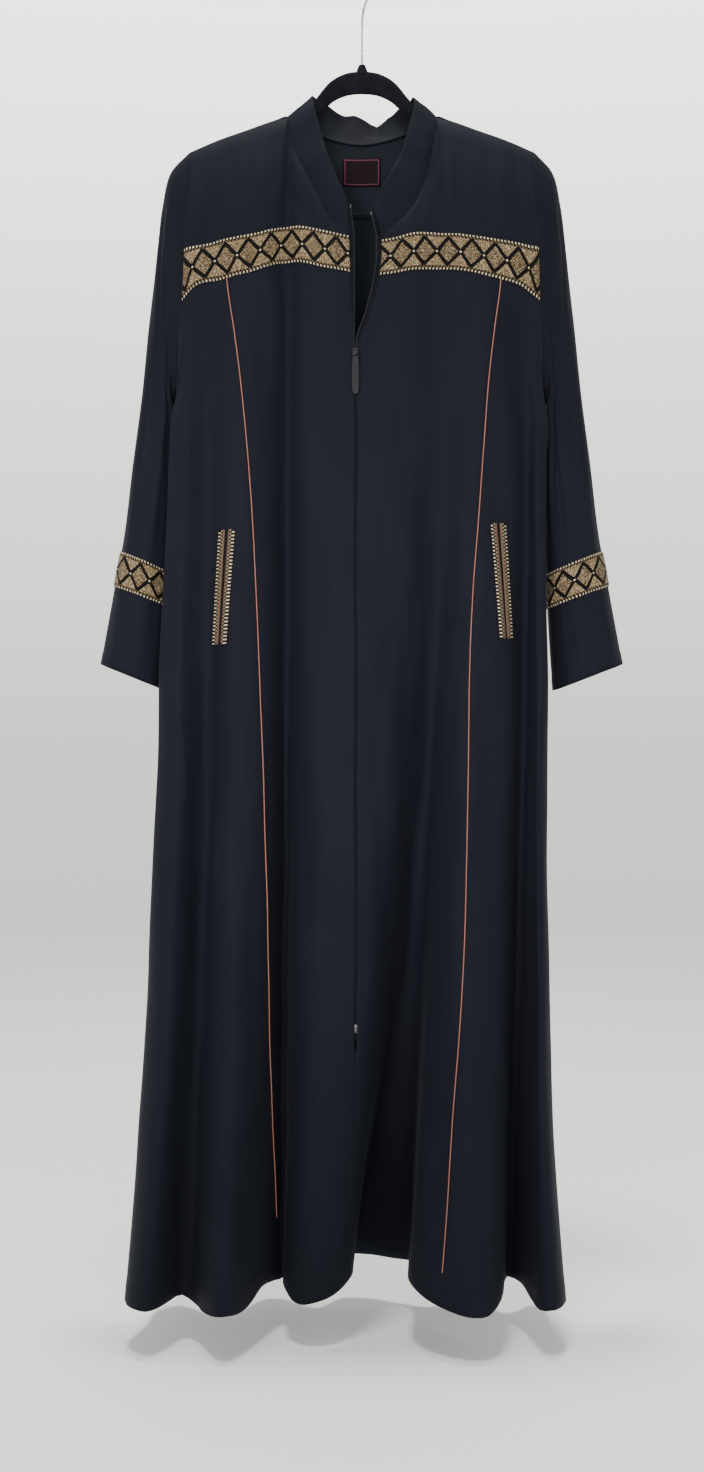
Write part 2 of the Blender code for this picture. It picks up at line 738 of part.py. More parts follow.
def mesh_object(name, points, faces, finish):
    mesh = bpy.data.meshes.new(name)
    mesh.from_pydata([Vector(point) * MM for point in points], [], faces)
    mesh.update()
    made = bmesh.new()
    made.from_mesh(mesh)
    bmesh.ops.recalc_face_normals(made, faces=made.faces)
    if made.calc_volume(signed=True) < 0:
        bmesh.ops.reverse_faces(made, faces=made.faces)
    made.to_mesh(mesh)
    made.free()
    mesh.materials.append(finish)
    mesh.shade_smooth()
    mesh.set_sharp_from_angle(angle=math.radians(SHARP_ANGLE))
    obj = bpy.data.objects.new(name, mesh)
    bpy.context.scene.collection.objects.link(obj)
    obj.parent = garment
    return obj


def halved(points, a, b, c, d):
    # A face with four corners as two triangles, cut along its shorter diagonal, so that two pieces
    # that share a seam get the same cut
    if np.linalg.norm(points[a] - points[c]) < np.linalg.norm(points[b] - points[d]):
        return [(a, b, c), (a, c, d)]
    return [(a, b, d), (b, c, d)]


def wall_object(name, outer, inner, finish, closed=False):
    # A closed solid between two grids of points
    rows, columns = outer.shape[:2]
    half = rows * columns
    points = np.vstack([outer.reshape(-1, 3), inner.reshape(-1, 3)])
    faces = []
    last = columns if closed else columns - 1
    for r in range(rows - 1):
        for c in range(last):
            after = (c + 1) % columns
            a, b = r * columns + c, (r + 1) * columns + c
            d, e = r * columns + after, (r + 1) * columns + after
            for i, j, k in halved(points, a, b, e, d):
                faces += [(i, j, k), (half + i, half + k, half + j)]
    ends = [(0, c, 0, (c + 1) % columns) for c in range(last)]
    ends += [(rows - 1, (c + 1) % columns, rows - 1, c) for c in range(last)]
    if not closed:
        ends += [(r + 1, 0, r, 0) for r in range(rows - 1)]
        ends += [(r, columns - 1, r + 1, columns - 1) for r in range(rows - 1)]
    for r0, c0, r1, c1 in ends:
        a, b = r0 * columns + c0, r1 * columns + c1
        faces += halved(points, a, b, half + b, half + a)
    return mesh_object(name, points, faces, finish)


def cloth(name, grid, edges, finish, closed=False, wall=CLOTH):
    outer, inner = two_faces(skin, grid, wall, edges, closed)
    return wall_object(name, outer, inner, finish, closed)


def laid_on(name, grid, finish, closed=False):
    # Trim that lies on the cloth: the cloth's own points, moved out
    top = BAND_LIFT + TRIM
    under = np.array([[point - skin.inward(point, BAND_LIFT) for point in row] for row in grid])
    over = np.array([[point - skin.inward(point, top) for point in row] for row in grid])
    return wall_object(name, over, under, finish, closed)


def material(finish):
    name, colour, roughness, metallic = finish
    made = bpy.data.materials.new(name)
    made.use_nodes = True
    shader = made.node_tree.nodes["Principled BSDF"]
    shader.inputs["Base Color"].default_value = (*colour, 1)
    shader.inputs["Roughness"].default_value = roughness
    shader.inputs["Metallic"].default_value = metallic
    return made


# Trims, zip and hanger


def surface_point(grid, x, z, back=False):
    # Where a panel's cloth is at a given x and z, and which way its normal points
    for r in range(1 if back else YOKE_ROW, len(grid) - 1):
        row = grid[r : r + 2]
        if not row[1, :, 2].min() <= z <= row[0, :, 2].max():
            continue
        share = (row[0, :, 2] - z) / (row[0, :, 2] - row[1, :, 2])
        line = row[0] + (row[1] - row[0]) * share[:, None]
        order = np.argsort(line[:, 0])
        inside = np.interp(x, line[order, 0], np.arange(len(order)))
        left = int(min(inside, len(order) - 2))
        part = inside - left
        place = line[order[left]] * (1 - part) + line[order[left + 1]] * part
        run = line[order[left + 1]] - line[order[left]]
        fall = row[1, order[left]] - row[0, order[left]]
        normal = np.cross(run, fall)
        normal /= np.linalg.norm(normal)
        if (normal[1] > 0) != back:
            normal = -normal
        return place, normal
    raise ValueError("no cloth at that height")


def pocket_strip(strip, grid, finish):
    rows = []
    for share in np.linspace(0, 1, STRIP_ROWS):
        z = strip.top_z + (strip.bottom_z - strip.top_z) * share
        ends = (
            strip.top_in + (strip.bottom_in - strip.top_in) * share,
            strip.top_out + (strip.bottom_out - strip.top_out) * share,
        )
        row = []
        for x in (ends[0], 0.5 * (ends[0] + ends[1]), ends[1]):
            row.append(surface_point(grid, x, z))
        rows.append(row)
    under = np.array([[point + normal * STRIP_LIFT for point, normal in row] for row in rows])
    over = np.array([[point + normal * (STRIP_LIFT + TRIM) for point, normal in row] for row in rows])
    wall_object(strip.name, over, under, finish)


def tube_object(name, path, radius, sides, finish):
    # A closed tube along a line, with flat ends
    path = np.asarray(path, float)
    rings = []
    up = Vector((0, -1, 0))
    for i, point in enumerate(path):
        before = path[max(i - 1, 0)]
        after = path[min(i + 1, len(path) - 1)]
        along = Vector(after - before).normalized()
        side = along.cross(up).normalized()
        up = side.cross(along).normalized()
        ring = []
        for k in range(sides):
            turn = 2 * math.pi * k / sides
            ring.append(Vector(point) + radius * (math.cos(turn) * up + math.sin(turn) * side))
        rings.append(ring)
    points = [tuple(point) for ring in rings for point in ring]
    faces = []
    for i in range(len(rings) - 1):
        for k in range(sides):
            a, b = i * sides + k, i * sides + (k + 1) % sides
            faces.append((a, b, b + sides, a + sides))
    faces.append(tuple(range(sides)))
    faces.append(tuple(range((len(rings) - 1) * sides, len(rings) * sides)))
    return mesh_object(name, points, faces, finish)


def piping(name, column, end_z, finish):
    # Piping along the seam between a side front and a centre front, from the band to its end
    rows = [point for point in column if point[2] > end_z + PIPING_LEAST_STEP]
    last = len(rows)
    share = (end_z - column[last - 1, 2]) / (column[last, 2] - column[last - 1, 2])
    rows.append(column[last - 1] + (column[last] - column[last - 1]) * share)
    path = []
    for number, point in enumerate(rows):
        nearest = column[min(number, len(column) - 1)]
        out = -skin.inward(nearest, 1.0)
        path.append(point + out / np.linalg.norm(out) * (PIPING_RADIUS + PIPING_LIFT))
    first_step = path[1] - path[0]
    path[0] = path[0] + first_step * (PIPING_UNDER_BAND / np.linalg.norm(first_step))
    tube_object(name, path, PIPING_RADIUS, PIPING_SIDES, finish)


def zip_tape(name, grid, collar_edge, collar_next, finish):
    # A tape behind a front's edge: it shows past the edge where the zip is open
    rows = []
    lowest = BOTTOM_STOP_Z - TAPE_BELOW_STOP
    for edge, following in zip(collar_edge, collar_next):
        rows.append((edge, following, TAPE_SHOWN, COLLAR_CLOTH + TAPE_BEHIND_COLLAR))
    for edge, following in zip(grid[1:, -1], grid[1:, -2]):
        if edge[2] < lowest:
            break
        open_by = abs(edge[0] - ZIP_X)
        shown = min(TAPE_SHOWN, max(0, open_by - TAPE_FOLD))
        rows.append((edge, following, shown, CLOTH + TAPE_BEHIND))
    near, far = [], []
    for edge, following, shown, deep in rows:
        inward = skin.inward(edge, 1.0)
        inward /= np.linalg.norm(inward)
        beside = skin.inward(following, 1.0)
        beside /= np.linalg.norm(beside)
        across = (edge - following) / np.linalg.norm(edge - following)
        free = edge + across * (shown - (0 if shown else HALF_SEAM)) + inward * deep
        bend = edge + inward * deep - across * 2 * HALF_SEAM
        hidden = following + beside * deep
        near.append([hidden, bend, free])
        far.append([hidden + beside * TAPE, bend + inward * TAPE, free + inward * TAPE])
    wall_object(name, np.array(near), np.array(far), finish)


def box_mesh(made, size, centre):
    # A box added to a bmesh, by its size and middle in millimetres
    found = bmesh.ops.create_cube(made, size=1.0)["verts"]
    for vert in found:
        vert.co = Vector([vert.co[k] * size[k] + centre[k] for k in range(3)]) * MM


def object_from(made, name, finish):
    bmesh.ops.recalc_face_normals(made, faces=made.faces)
    mesh = bpy.data.meshes.new(name)
    made.to_mesh(mesh)
    made.free()
    mesh.materials.append(finish)
    obj = bpy.data.objects.new(name, mesh)
    bpy.context.scene.collection.objects.link(obj)
    obj.parent = garment
    return obj


def helper(made, name, finish):
    # A shape that only joins or cuts another
    obj = object_from(made, name, finish)
    obj.hide_render = True
    obj.display_type = "WIRE"
    return obj


def boolean(obj, other, operation):
    step = obj.modifiers.new(operation.lower(), "BOOLEAN")
    step.operation = operation
    step.object = other
    step.solver = "EXACT"


def rod(radius, width, centre, segments):
    # A bmesh with one cylinder lying along X
    made = bmesh.new()
    found = bmesh.ops.create_cone(
        made,
        cap_ends=True,
        segments=segments,
        radius1=radius,
        radius2=radius,
        depth=width,
    )["verts"]
    for vert in found:
        x, y, z = vert.co
        vert.co = Vector((z + centre[0], x + centre[1], y + centre[2])) * MM
    return made


def zip_slider(face_y, finish):
    # The slider's plate, two lugs and the pin between them
    front = face_y - SLIDER_CLEAR - SLIDER[1]
    pin_y = front - LUG[1] + PIN_IN_LUG
    plate = bmesh.new()
    middle_z = SLIDER_Z + SLIDER[2] / 2 - PIN_IN_SLIDER
    box_mesh(plate, SLIDER, (ZIP_X, front + SLIDER[1] / 2, middle_z))
    slider = object_from(plate, "zip_slider", finish)
    for side in (-1, 1):
        lug = bmesh.new()
        x = ZIP_X + side * (EYE_WIDTH / 2 + CLEAR + LUG[0] / 2)
        box_mesh(lug, LUG, (x, front - LUG[1] / 2 + LUG_SUNK, SLIDER_Z))
        boolean(slider, helper(lug, "lug", finish), "UNION")
    width = EYE_WIDTH + 2 * CLEAR + LUG[0]
    pin = rod(PIN_RADIUS, width, (ZIP_X, pin_y, SLIDER_Z), ROD_SIDES)
    boolean(slider, helper(pin, "pin", finish), "UNION")
    return pin_y


def zip_pull_tab(pin_y, finish):
    # The tab hangs by its eye from the slider's pin
    middle = (ZIP_X, pin_y, SLIDER_Z)
    tab = object_from(rod(EYE_RADIUS, EYE_WIDTH, middle, ROD_SIDES), "zip_pull_tab", finish)
    blade = bmesh.new()
    top = SLIDER_Z - TAB_BELOW_PIN
    box_mesh(blade, TAB, (ZIP_X, pin_y, top - TAB[2] / 2))
    boolean(tab, helper(blade, "blade", finish), "UNION")
    neck = bmesh.new()
    box_mesh(neck, (EYE_WIDTH, TAB[1], TAB_NECK), (ZIP_X, pin_y, top))
    boolean(tab, helper(neck, "neck of the tab", finish), "UNION")
    hole = helper(rod(EYE_HOLE, EYE_WIDTH + 2, middle, ROD_SIDES), "eye", finish)
    boolean(tab, hole, "DIFFERENCE")


def bottom_stop(grid, finish):
    column = grid[:, -1]
    y = np.interp(-BOTTOM_STOP_Z, -column[:, 2], column[:, 1])
    made = bmesh.new()
    lift = SLIDER_CLEAR + BOTTOM_STOP_LIFT + BOTTOM_STOP[1] / 2
    box_mesh(made, BOTTOM_STOP, (ZIP_X, y - lift, BOTTOM_STOP_Z))
    object_from(made, "zip_bottom_stop", finish)


def neck_label(grid, finish):
    # A label on the back's inner face
    width, height, thick = LABEL
    near, far = [], []
    for share in (0.0, 0.5, 1.0):
        z = LABEL_MIDDLE[1] + height * (0.5 - share)
        row = []
        for side in (-0.5, -0.25, 0, 0.25, 0.5):
            point, normal = surface_point(grid, LABEL_MIDDLE[0] + side * width, z, back=True)
            row.append((point, normal))
        lift = CLOTH + LABEL_LIFT
        far.append([point - normal * lift for point, normal in row])
        near.append([point - normal * (lift + thick) for point, normal in row])
    wall_object("neck_label", np.array(near), np.array(far), finish)


def hanger_body(finish):
    # Both halves of the outline as one ring, cut square with its edges bevelled
    half = [(row.outer, row.inner) for row in HANGER_HALF]
    ring = half + [((-a[0], a[1]), (-b[0], b[1])) for a, b in half[-2:0:-1]]
    count = len(ring)
    middle = HANGER_DEPTH / 2
    points = []
    for outer, inner in ring:
        reach = np.array(outer, float) - np.array(inner, float)
        out = reach / np.linalg.norm(reach) * HANGER_CHAMFER
        high, low = np.array(outer, float), np.array(inner, float)
        flat = middle - HANGER_CHAMFER
        for (x, z), y in (
            (high, flat),
            (high - out, middle),
            (low + out, middle),
            (low, flat),
            (low, -flat),
            (low + out, -middle),
            (high - out, -middle),
            (high, -flat),
        ):
            points.append((x, y, z))
    faces = []
    for i in range(count):
        for k in range(8):
            a, b = i * 8 + k, i * 8 + (k + 1) % 8
            c, d = ((i + 1) % count) * 8 + (k + 1) % 8, ((i + 1) % count) * 8 + k
            faces.append((a, b, c, d))
    body = mesh_object("hanger_body", points, faces, finish)
    boolean(body, helper(nub_for_hook(), "nub", finish), "UNION")
    hole = helper(socket_for_hook(), "socket for the hook", finish)
    boolean(body, hole, "DIFFERENCE")


def nub_for_hook():
    # The tapered nub that the hook is screwed into
    made = bmesh.new()
    width, depth, height = NUB
    found = bmesh.ops.create_cone(
        made,
        cap_ends=True,
        segments=16,
        radius1=width / 2,
        radius2=width / 4,
        depth=height,
    )["verts"]
    for vert in found:
        x, y, z = vert.co
        vert.co = Vector((x, y * depth / width, z + NUB_TOP - height / 2)) * MM
    return made


def socket_for_hook():
    made = bmesh.new()
    found = bmesh.ops.create_cone(
        made,
        cap_ends=True,
        segments=16,
        radius1=HOOK_WIRE + SOCKET_CLEAR,
        radius2=HOOK_WIRE + SOCKET_CLEAR,
        depth=2 * SOCKET_DEPTH,
    )["verts"]
    for vert in found:
        vert.co = Vector((vert.co.x, vert.co.y, vert.co.z + NUB_TOP)) * MM
    return made


def hanger_hook(finish):
    # Up the stem, out to the side, over the top and down to the free end
    turn = np.radians(np.linspace(*HOOK_TURN, 22))
    centre_z = HOOK_WIRE - HOOK_RADIUS
    loop = np.stack([HOOK_RADIUS * np.cos(turn), HOOK_RADIUS * np.sin(turn) + centre_z], axis=1)
    stem = np.array([(x, z) for x, z in HOOK_STEM], float)
    route = np.vstack([stem, loop])
    route = np.insert(route, 1, 0, axis=1)
    even = along_points(route, np.linspace(0, 1, HOOK_RINGS))
    tube_object("hanger_hook", even, HOOK_WIRE, HOOK_SIDES, finish)


for old in list(bpy.data.objects):
    bpy.data.objects.remove(old, do_unlink=True)

garment = bpy.data.objects.new("garment", None)
bpy.context.scene.collection.objects.link(garment)
crepe = material(CREPE)
braid = material(GOLD_BRAID)
copper = material(COPPER)
tape_cloth = material(TAPE_CLOTH)
black_metal = material(BLACK_METAL)
steel = material(STEEL)
flock = material(FLOCK)
woven = material(WOVEN_LABEL)

fronts = {which: front_grid(which) for which in HALVES}
for half_front in fronts.values():
    armhole_y(half_front)
back = back_grid(fronts["right"][:, 0, 2], fronts["left"][:, 0, 2])
neckline = np.vstack(
    [
        fronts["right"][0, : neck_column(HALVES["right"]) - 1 : -1],
        back[0, BACK_SHOULDER_COLUMNS + 1 : BACK_COLUMNS - BACK_SHOULDER_COLUMNS],
        fronts["left"][0, neck_column(HALVES["left"]) :],
    ]
)
collar = collar_grid(neckline)
loops = {}
for which, end in (("right", 0), ("left", -1)):
    front_edge = fronts[which][: ARMPIT_ROW + 1, 0]
    back_edge = back[ARMPIT_ROW - 1 : 0 : -1, end]
    loops[which] = np.vstack([front_edge, back_edge])
sleeves = {which: sleeve_grid(which == "left", loop) for which, loop in loops.items()}

skin = Skin()
skin.add(fronts["right"])
skin.add(fronts["left"], flip=True)
skin.add(back, flip=True)
skin.add(collar)
skin.add(sleeves["right"], closed=True)
skin.add(sleeves["left"], closed=True, flip=True)
for row_of_seam in (
    fronts["right"][0, 1 : neck_column(HALVES["right"])],
    fronts["left"][0, 1 : neck_column(HALVES["left"])],
    back[0, 1:BACK_SHOULDER_COLUMNS],
    back[0, BACK_COLUMNS - BACK_SHOULDER_COLUMNS + 1 : -1],
):
    for seam_point in row_of_seam:
        skin.fixed[skin.key(seam_point)] = np.array(SHOULDER_SEAM_IN)

for which, grid in fronts.items():
    yoke_edges = ("top", "bottom", "start")
    cloth(f"yoke_{which}", grid[: YOKE_ROW + 1], yoke_edges, crepe)
    side_edges = ("top", "start", "end")
    seam_column = HALVES[which].side_columns
    cloth(f"front_side_{which}", grid[YOKE_ROW:, : seam_column + 1], side_edges, crepe)
    cloth(f"front_centre_{which}", grid[YOKE_ROW:, seam_column:], side_edges, crepe)
    end_z = PIPING_RIGHT_END if which == "right" else PIPING_LEFT_END
    piping(f"piping_{which}", grid[BAND_BOTTOM_ROW:, seam_column], end_z, copper)
    band_rows = grid[BAND_TOP_ROW : BAND_BOTTOM_ROW + 1]
    laid_on(f"chest_band_{which}", band_rows[:, 1:], braid)
cloth("back_panel", back, ("top", "start", "end"), crepe)
cloth("collar", collar, ("top",), crepe, wall=COLLAR_CLOTH)
for which, grid in sleeves.items():
    cloth(f"sleeve_{which}", grid[: CUFF_ROW + 1], ("top", "bottom"), crepe, closed=True)
    cloth(f"cuff_{which}", grid[CUFF_ROW:], ("top",), crepe, closed=True)
    laid_on(f"sleeve_band_{which}", grid[SLEEVE_BAND_ROW : CUFF_ROW + 2], braid, closed=True)
for strip in POCKET_STRIPS:
    pocket_strip(strip, fronts["left" if strip.top_in > 0 else "right"], braid)
zip_tape("zip_tape_right", fronts["right"], collar[::-1, 0], collar[::-1, 1], tape_cloth)
zip_tape("zip_tape_left", fronts["left"], collar[::-1, -1], collar[::-1, -2], tape_cloth)
front_face = float(np.interp(-SLIDER_Z, -fronts["right"][:, -1, 2], fronts["right"][:, -1, 1]))
zip_pull_tab(zip_slider(front_face, black_metal), black_metal)
bottom_stop(fronts["right"], steel)
neck_label(back, woven)
hanger_body(flock)
hanger_hook(steel)
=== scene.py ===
# A floor-length black abaya with a zip down its front, on a flocked hanger, dressed over its frame
# +X is the wearer's left and the front faces -Y. Tables are in millimetres, meshes in metres.

import math

import bmesh
import bpy
import numpy as np
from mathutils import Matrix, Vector


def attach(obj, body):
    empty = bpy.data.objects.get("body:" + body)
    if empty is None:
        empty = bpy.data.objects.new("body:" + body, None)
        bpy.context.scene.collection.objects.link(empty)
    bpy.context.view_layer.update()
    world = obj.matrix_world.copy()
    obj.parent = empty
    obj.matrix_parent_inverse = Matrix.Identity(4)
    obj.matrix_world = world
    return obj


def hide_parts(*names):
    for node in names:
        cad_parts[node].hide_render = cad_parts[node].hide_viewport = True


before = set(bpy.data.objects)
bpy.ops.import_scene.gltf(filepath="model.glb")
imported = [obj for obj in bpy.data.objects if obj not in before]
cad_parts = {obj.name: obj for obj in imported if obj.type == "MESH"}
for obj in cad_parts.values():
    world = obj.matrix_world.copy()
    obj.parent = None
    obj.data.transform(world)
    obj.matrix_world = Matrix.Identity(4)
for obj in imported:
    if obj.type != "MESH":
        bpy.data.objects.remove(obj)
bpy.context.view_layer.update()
mm = 0.001
print("frame loaded:", len(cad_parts), "nodes")

# The cut: where the cloth hangs. Rows are x, y at the chest, waist, knees and hem, then hem lift.
cut = {
    "levels": (-395, -707, -1180, -1600),
    "front": (
        ((-200, -32), (-211, -42), (-222, -55), (-248, -88), 0),
        ((-181, -32), (-183, -31), (-188, -25), (-208, -30), 0),
        ((-140, -39), (-147, -54), (-152, -76), (-160, -106), 0),
        ((-105, -35), (-112, -43), (-118, -58), (-124, -44), 0),
        ((-88, -25), (-89, -17), (-93, 0), (-97, 12), 0),
        ((-72, -33), (-72, -36), (-77, -42), (-89, -38), 0),
        ((-46, -38), (-38, -50), (-47, -63), (-52, -57), 0),
        ((50, -40), (44, -51), (14, -58), (-15, -32), 0),
        ((92, -35), (86, -35), (54, 4), (-9, 74), 22),
        ((99, -35), (94, -35), (70, 4), (54, 74), 10),
        ((112, -38), (107, -42), (86, -46), (60, -58), 0),
        ((134, -39), (134, -52), (119, -80), (128, -103), 0),
        ((168, -37), (169, -41), (160, -56), (156, -84), 0),
        ((190, -32), (196, -12), (187, 0), (178, 20), 0),
        ((201, -30), (208, -28), (206, -50), (213, -87), 0),
    ),
    "back": (
        ((-185, 34), (-180, 43), (-206, 68), (-226, 98), 0),
        ((-150, 34), (-147, 41), (-163, 52), (-172, 60), 0),
        ((-105, 36), (-105, 53), (-110, 86), (-112, 127), 0),
        ((-58, 35), (-56, 45), (-58, 62), (-58, 90), 0),
        ((-10, 36), (-10, 53), (-14, 88), (-18, 130), 0),
        ((58, 35), (62, 44), (72, 62), (88, 94), 0),
        ((110, 36), (112, 53), (124, 84), (136, 124), 0),
        ((155, 34), (152, 42), (170, 55), (180, 70), 0),
        ((185, 33), (182, 42), (200, 66), (212, 100), 0),
    ),
    # z, right x, left x, front y, back y along armhole and side seam
    "sides": (
        (-239, -207, 207, 0, 0), (-243.5, -207.7, 207.1, -6, 6), (-262, -209.1, 207.6, -14, 14),
        (-320, -210, 209, -22.5, 23), (-395, -213, 211, -25, 26), (-430, -215.5, 212.5, -24.5, 26),
        (-480, -219.5, 215, -19, 21), (-530, -223, 217, 2, 2), (-592, -215, 210, 6, 6),
        (-650, -212, 206, 8, 8), (-760, -212, 205, 8, 8), (-850, -216, 208, 8, 8),
        (-980, -229, 215, 10, 10), (-1180, -241, 219, 12, 12), (-1600, -262, 230, 20, 20),
    ),
    # z, right x, left x, y of the outermost cloth
    "frontEdge": (
        (-395, -208, 206, -30), (-480, -215.5, 211.5, -27), (-530, -220, 214, -11),
        (-600, -229, 219, -16), (-707, -234, 219.7, -18), (-940, -243.5, 220, -21),
        (-1180, -252, 220.5, -25), (-1400, -263, 225, -38), (-1600, -277, 237, -55),
    ),
    "backEdge": (
        (-395, -206, 204, 31), (-480, -213, 209, 28), (-530, -218, 212, 19), (-600, -211, 206, 27),
        (-707, -208, 203, 30), (-890, -214, 207, 34), (-1180, -234, 215, 48),
        (-1600, -254, 226, 78),
    ),
    # x, top z, bottom z of the woven band over the chest
    "band": (
        (-213, -363, -425), (-199, -361, -410), (-165, -354, -401), (-129, -348, -392.5),
        (-83, -336.5, -378.5), (-46, -343.5, -387), (-15.5, -351, -393), (22.5, -356, -397),
        (62, -346.5, -390.5), (100, -347, -389.5), (158, -354, -400), (188, -358, -408.5),
        (211, -361, -425),
    ),
    "shoulder": (
        (207, 0, -239), (199, 0, -235.5), (172, 0, -224), (138, 0, -212), (107, 0, -201),
        (89.5, 0, -196),
    ),
    "backNeck": (
        (89.5, 0, -196), (88.3, 5, -199), (84, 9, -201), (75, 16, -204), (50, 26, -209.5),
        (34, 31, -214), (0, 35, -218),
    ),
    "backNeckSteps": (0, 0.06, 0.15, 0.27, 0.44, 0.7, 1),
    "lowerRows": (
        (-478, -442), (-530, -492), (-600, -585), (-680, -675), (-770, -770), (-870, -870),
        (-980, -980), (-1090, -1090), (-1195, -1195), (-1295, -1295), (-1385, -1385),
        (-1465, -1465), (-1535, -1535), (-1600, -1600),
    ),
    "yokeSteps": (0, 0.035, 0.3, 0.64),
    "bandTopRow": 4,
    "yokeRow": 5,
    "bandBottomRow": 6,
    "armpitRow": 8,
    "backShoulderColumns": 8,
    "backColumns": 28,
    "neckColumns": 6,  # over which the yoke's rows even out towards the zip
    "yokeLevel": -370.0,
    "lowLevel": -405.0,
    "chestLevel": -504.0,
    "shoulderZ": -239.0,
    "underarmZ": -530.0,
    "frontSwell": 0.6,
    "backSwell": 0.55,
    "outlinePoints": 900,
    "backSeed": 7,
}
closedFront = (
    (-492, -8), (-500, -8), (-600, -8), (-1250, -8), (-1320, -8), (-1450, -10), (-1600, -15),
)
halves = {
    "right": {
        "sign": -1,
        "seeds": (1, 12),  # of the front's and the sleeve's unevenness
        "side": 19,
        "centre": 13,
        "seam": (
            (-397, -161), (-550, -140.2), (-832, -121.8), (-1111, -113.5), (-1393, -107.6),
            (-1600, -101),
        ),
        "opening": ((-345, -15.5), (-400, -14.6), (-450, -11)) + closedFront,
        "neck": (
            (-15.5, -38, -342.5), (-34.4, -35, -329), (-53.4, -30, -296), (-72.6, -21, -257.3),
            (-84.8, -12.5, -227.6), (-88, -8.5, -210), (-89.3, -5, -200.5), (-89.5, 0, -196),
        ),
        "neckSteps": (0, 0.15, 0.3, 0.45, 0.6, 0.74, 0.87, 0.96, 1),
    },
    "left": {
        "sign": 1,
        "seeds": (4, 9),
        "side": 18,
        "centre": 18,
        "seam": (
            (-397, 164), (-515, 148.6), (-657, 138), (-797, 127.6), (-1076, 120.3), (-1215, 115.1),
            (-1426, 100.9), (-1600, 88.5),
        ),
        "opening": ((-345, 22.5), (-400, 20.5), (-450, 6.5)) + closedFront,
        "neck": (
            (22.5, -39, -347.5), (43.4, -35, -331), (61.4, -29, -309), (76, -20, -272.7),
            (84.7, -12.5, -233.5), (87.6, -8.5, -210), (89.2, -5, -200.5), (89.5, 0, -196),
        ),
        "neckSteps": (0, 0.12, 0.24, 0.36, 0.48, 0.6, 0.74, 0.87, 0.96, 1),
    },
}


def slopesOf(knots, values):
    steps = np.diff(values, axis=0) / np.diff(knots)[:, None]
    widths = np.diff(knots)[:, None]
    inner = (steps[1:] * widths[:-1] + steps[:-1] * widths[1:]) / (widths[1:] + widths[:-1])
    return np.vstack([steps[:1], inner, steps[-1:]])


def smoothThrough(knots, values, at):  # a smooth line through a table's rows
    knots = np.asarray(knots, float)
    values = np.asarray(values, float).reshape(len(knots), -1)
    if knots[0] > knots[-1]:
        knots = knots[::-1]
        values = values[::-1]
    tangents = slopesOf(knots, values)
    at = np.clip(np.atleast_1d(at), knots[0], knots[-1])
    index = np.clip(np.searchsorted(knots, at) - 1, 0, len(knots) - 2)
    width = (knots[index + 1] - knots[index])[:, None]
    t = (at - knots[index])[:, None] / width
    start = (1 + 2 * t) * (1 - t) ** 2 * values[index]
    leave = t * (1 - t) ** 2 * width * tangents[index]
    end = t**2 * (3 - 2 * t) * values[index + 1]
    arrive = t**2 * (t - 1) * width * tangents[index + 1]
    return start + leave + end + arrive


def lookUp(table, at, columns=slice(1, None)):  # the first column is the place
    rows = np.asarray(table, float)
    return smoothThrough(rows[:, 0], rows[:, columns], at)[0]


def reachOf(points):  # how far along a line each of its points is
    return np.r_[0, np.cumsum(np.linalg.norm(np.diff(points, axis=0), axis=1))]


def alongPoints(points, shares):
    points = np.asarray(points, float)
    reach = reachOf(points)
    return smoothThrough(reach / reach[-1], points, shares)


def pointAt(place, reach, line):  # between the points of a line, at a distance along it
    return np.stack([np.interp(place, reach, line[:, k]) for k in range(3)], axis=-1)


def foldsAt(folds, z):
    places = np.array([[spot for pair in row[:4] for spot in pair] for row in folds], float)
    byLevel = places.reshape(len(folds), 4, 2).transpose(1, 0, 2).reshape(4, -1)
    rise = np.clip((cut["levels"][2] - z) / (cut["levels"][2] - cut["levels"][3]), 0, 1) ** 2
    lifts = np.array([[row[4] * rise] for row in folds])
    return np.hstack([smoothThrough(cut["levels"], byLevel, z).reshape(-1, 2), lifts])


def outlineAt(face, z):  # the cloth's outline at a height, from the right side seam to the left
    side = lookUp(cut["sides"], z)
    edge = lookUp(cut[face + "Edge"], z)
    sideY = side[2] if face == "front" else side[3]
    keys = np.vstack(
        [
            (side[0], sideY, 0),
            (edge[0], edge[2], 0),
            foldsAt(cut[face], z),
            (edge[1], edge[2], 0),
            (side[1], sideY, 0),
        ]
    )
    gaps = np.linalg.norm(np.diff(keys[:, :2], axis=0), axis=1) ** 0.5
    knots = np.r_[0, np.cumsum(gaps)]
    return smoothThrough(knots, keys, np.linspace(0, knots[-1], cut["outlinePoints"]))


def crossingOf(outline, x):
    past = np.nonzero(outline[:, 0] > x)[0]
    return past[0] if len(past) else len(outline) - 1


def spread(outline, start, end, count):
    places = np.linspace(start, end, count + 1)
    return pointAt(places, np.arange(len(outline)), outline)


def sideX(which, z):
    return lookUp(cut["sides"], z)[0 if which == "right" else 1]


def neckColumn(half):
    return half["side"] + half["centre"] - len(half["neckSteps"]) + 1


def frontRow(which, z):
    half = halves[which]
    outline = outlineAt("front", z)
    seam = crossingOf(outline, lookUp(half["seam"], z)[0])
    middle = crossingOf(outline, lookUp(half["opening"], z)[0])
    if which == "left":
        centre = spread(outline, middle, seam, half["centre"])
        outside = spread(outline, seam, len(outline) - 1, half["side"])
        return np.vstack([centre, outside[1:]])[::-1]
    outside = spread(outline, 0, seam, half["side"])
    centre = spread(outline, seam, middle, half["centre"])
    return np.vstack([outside, centre[1:]])


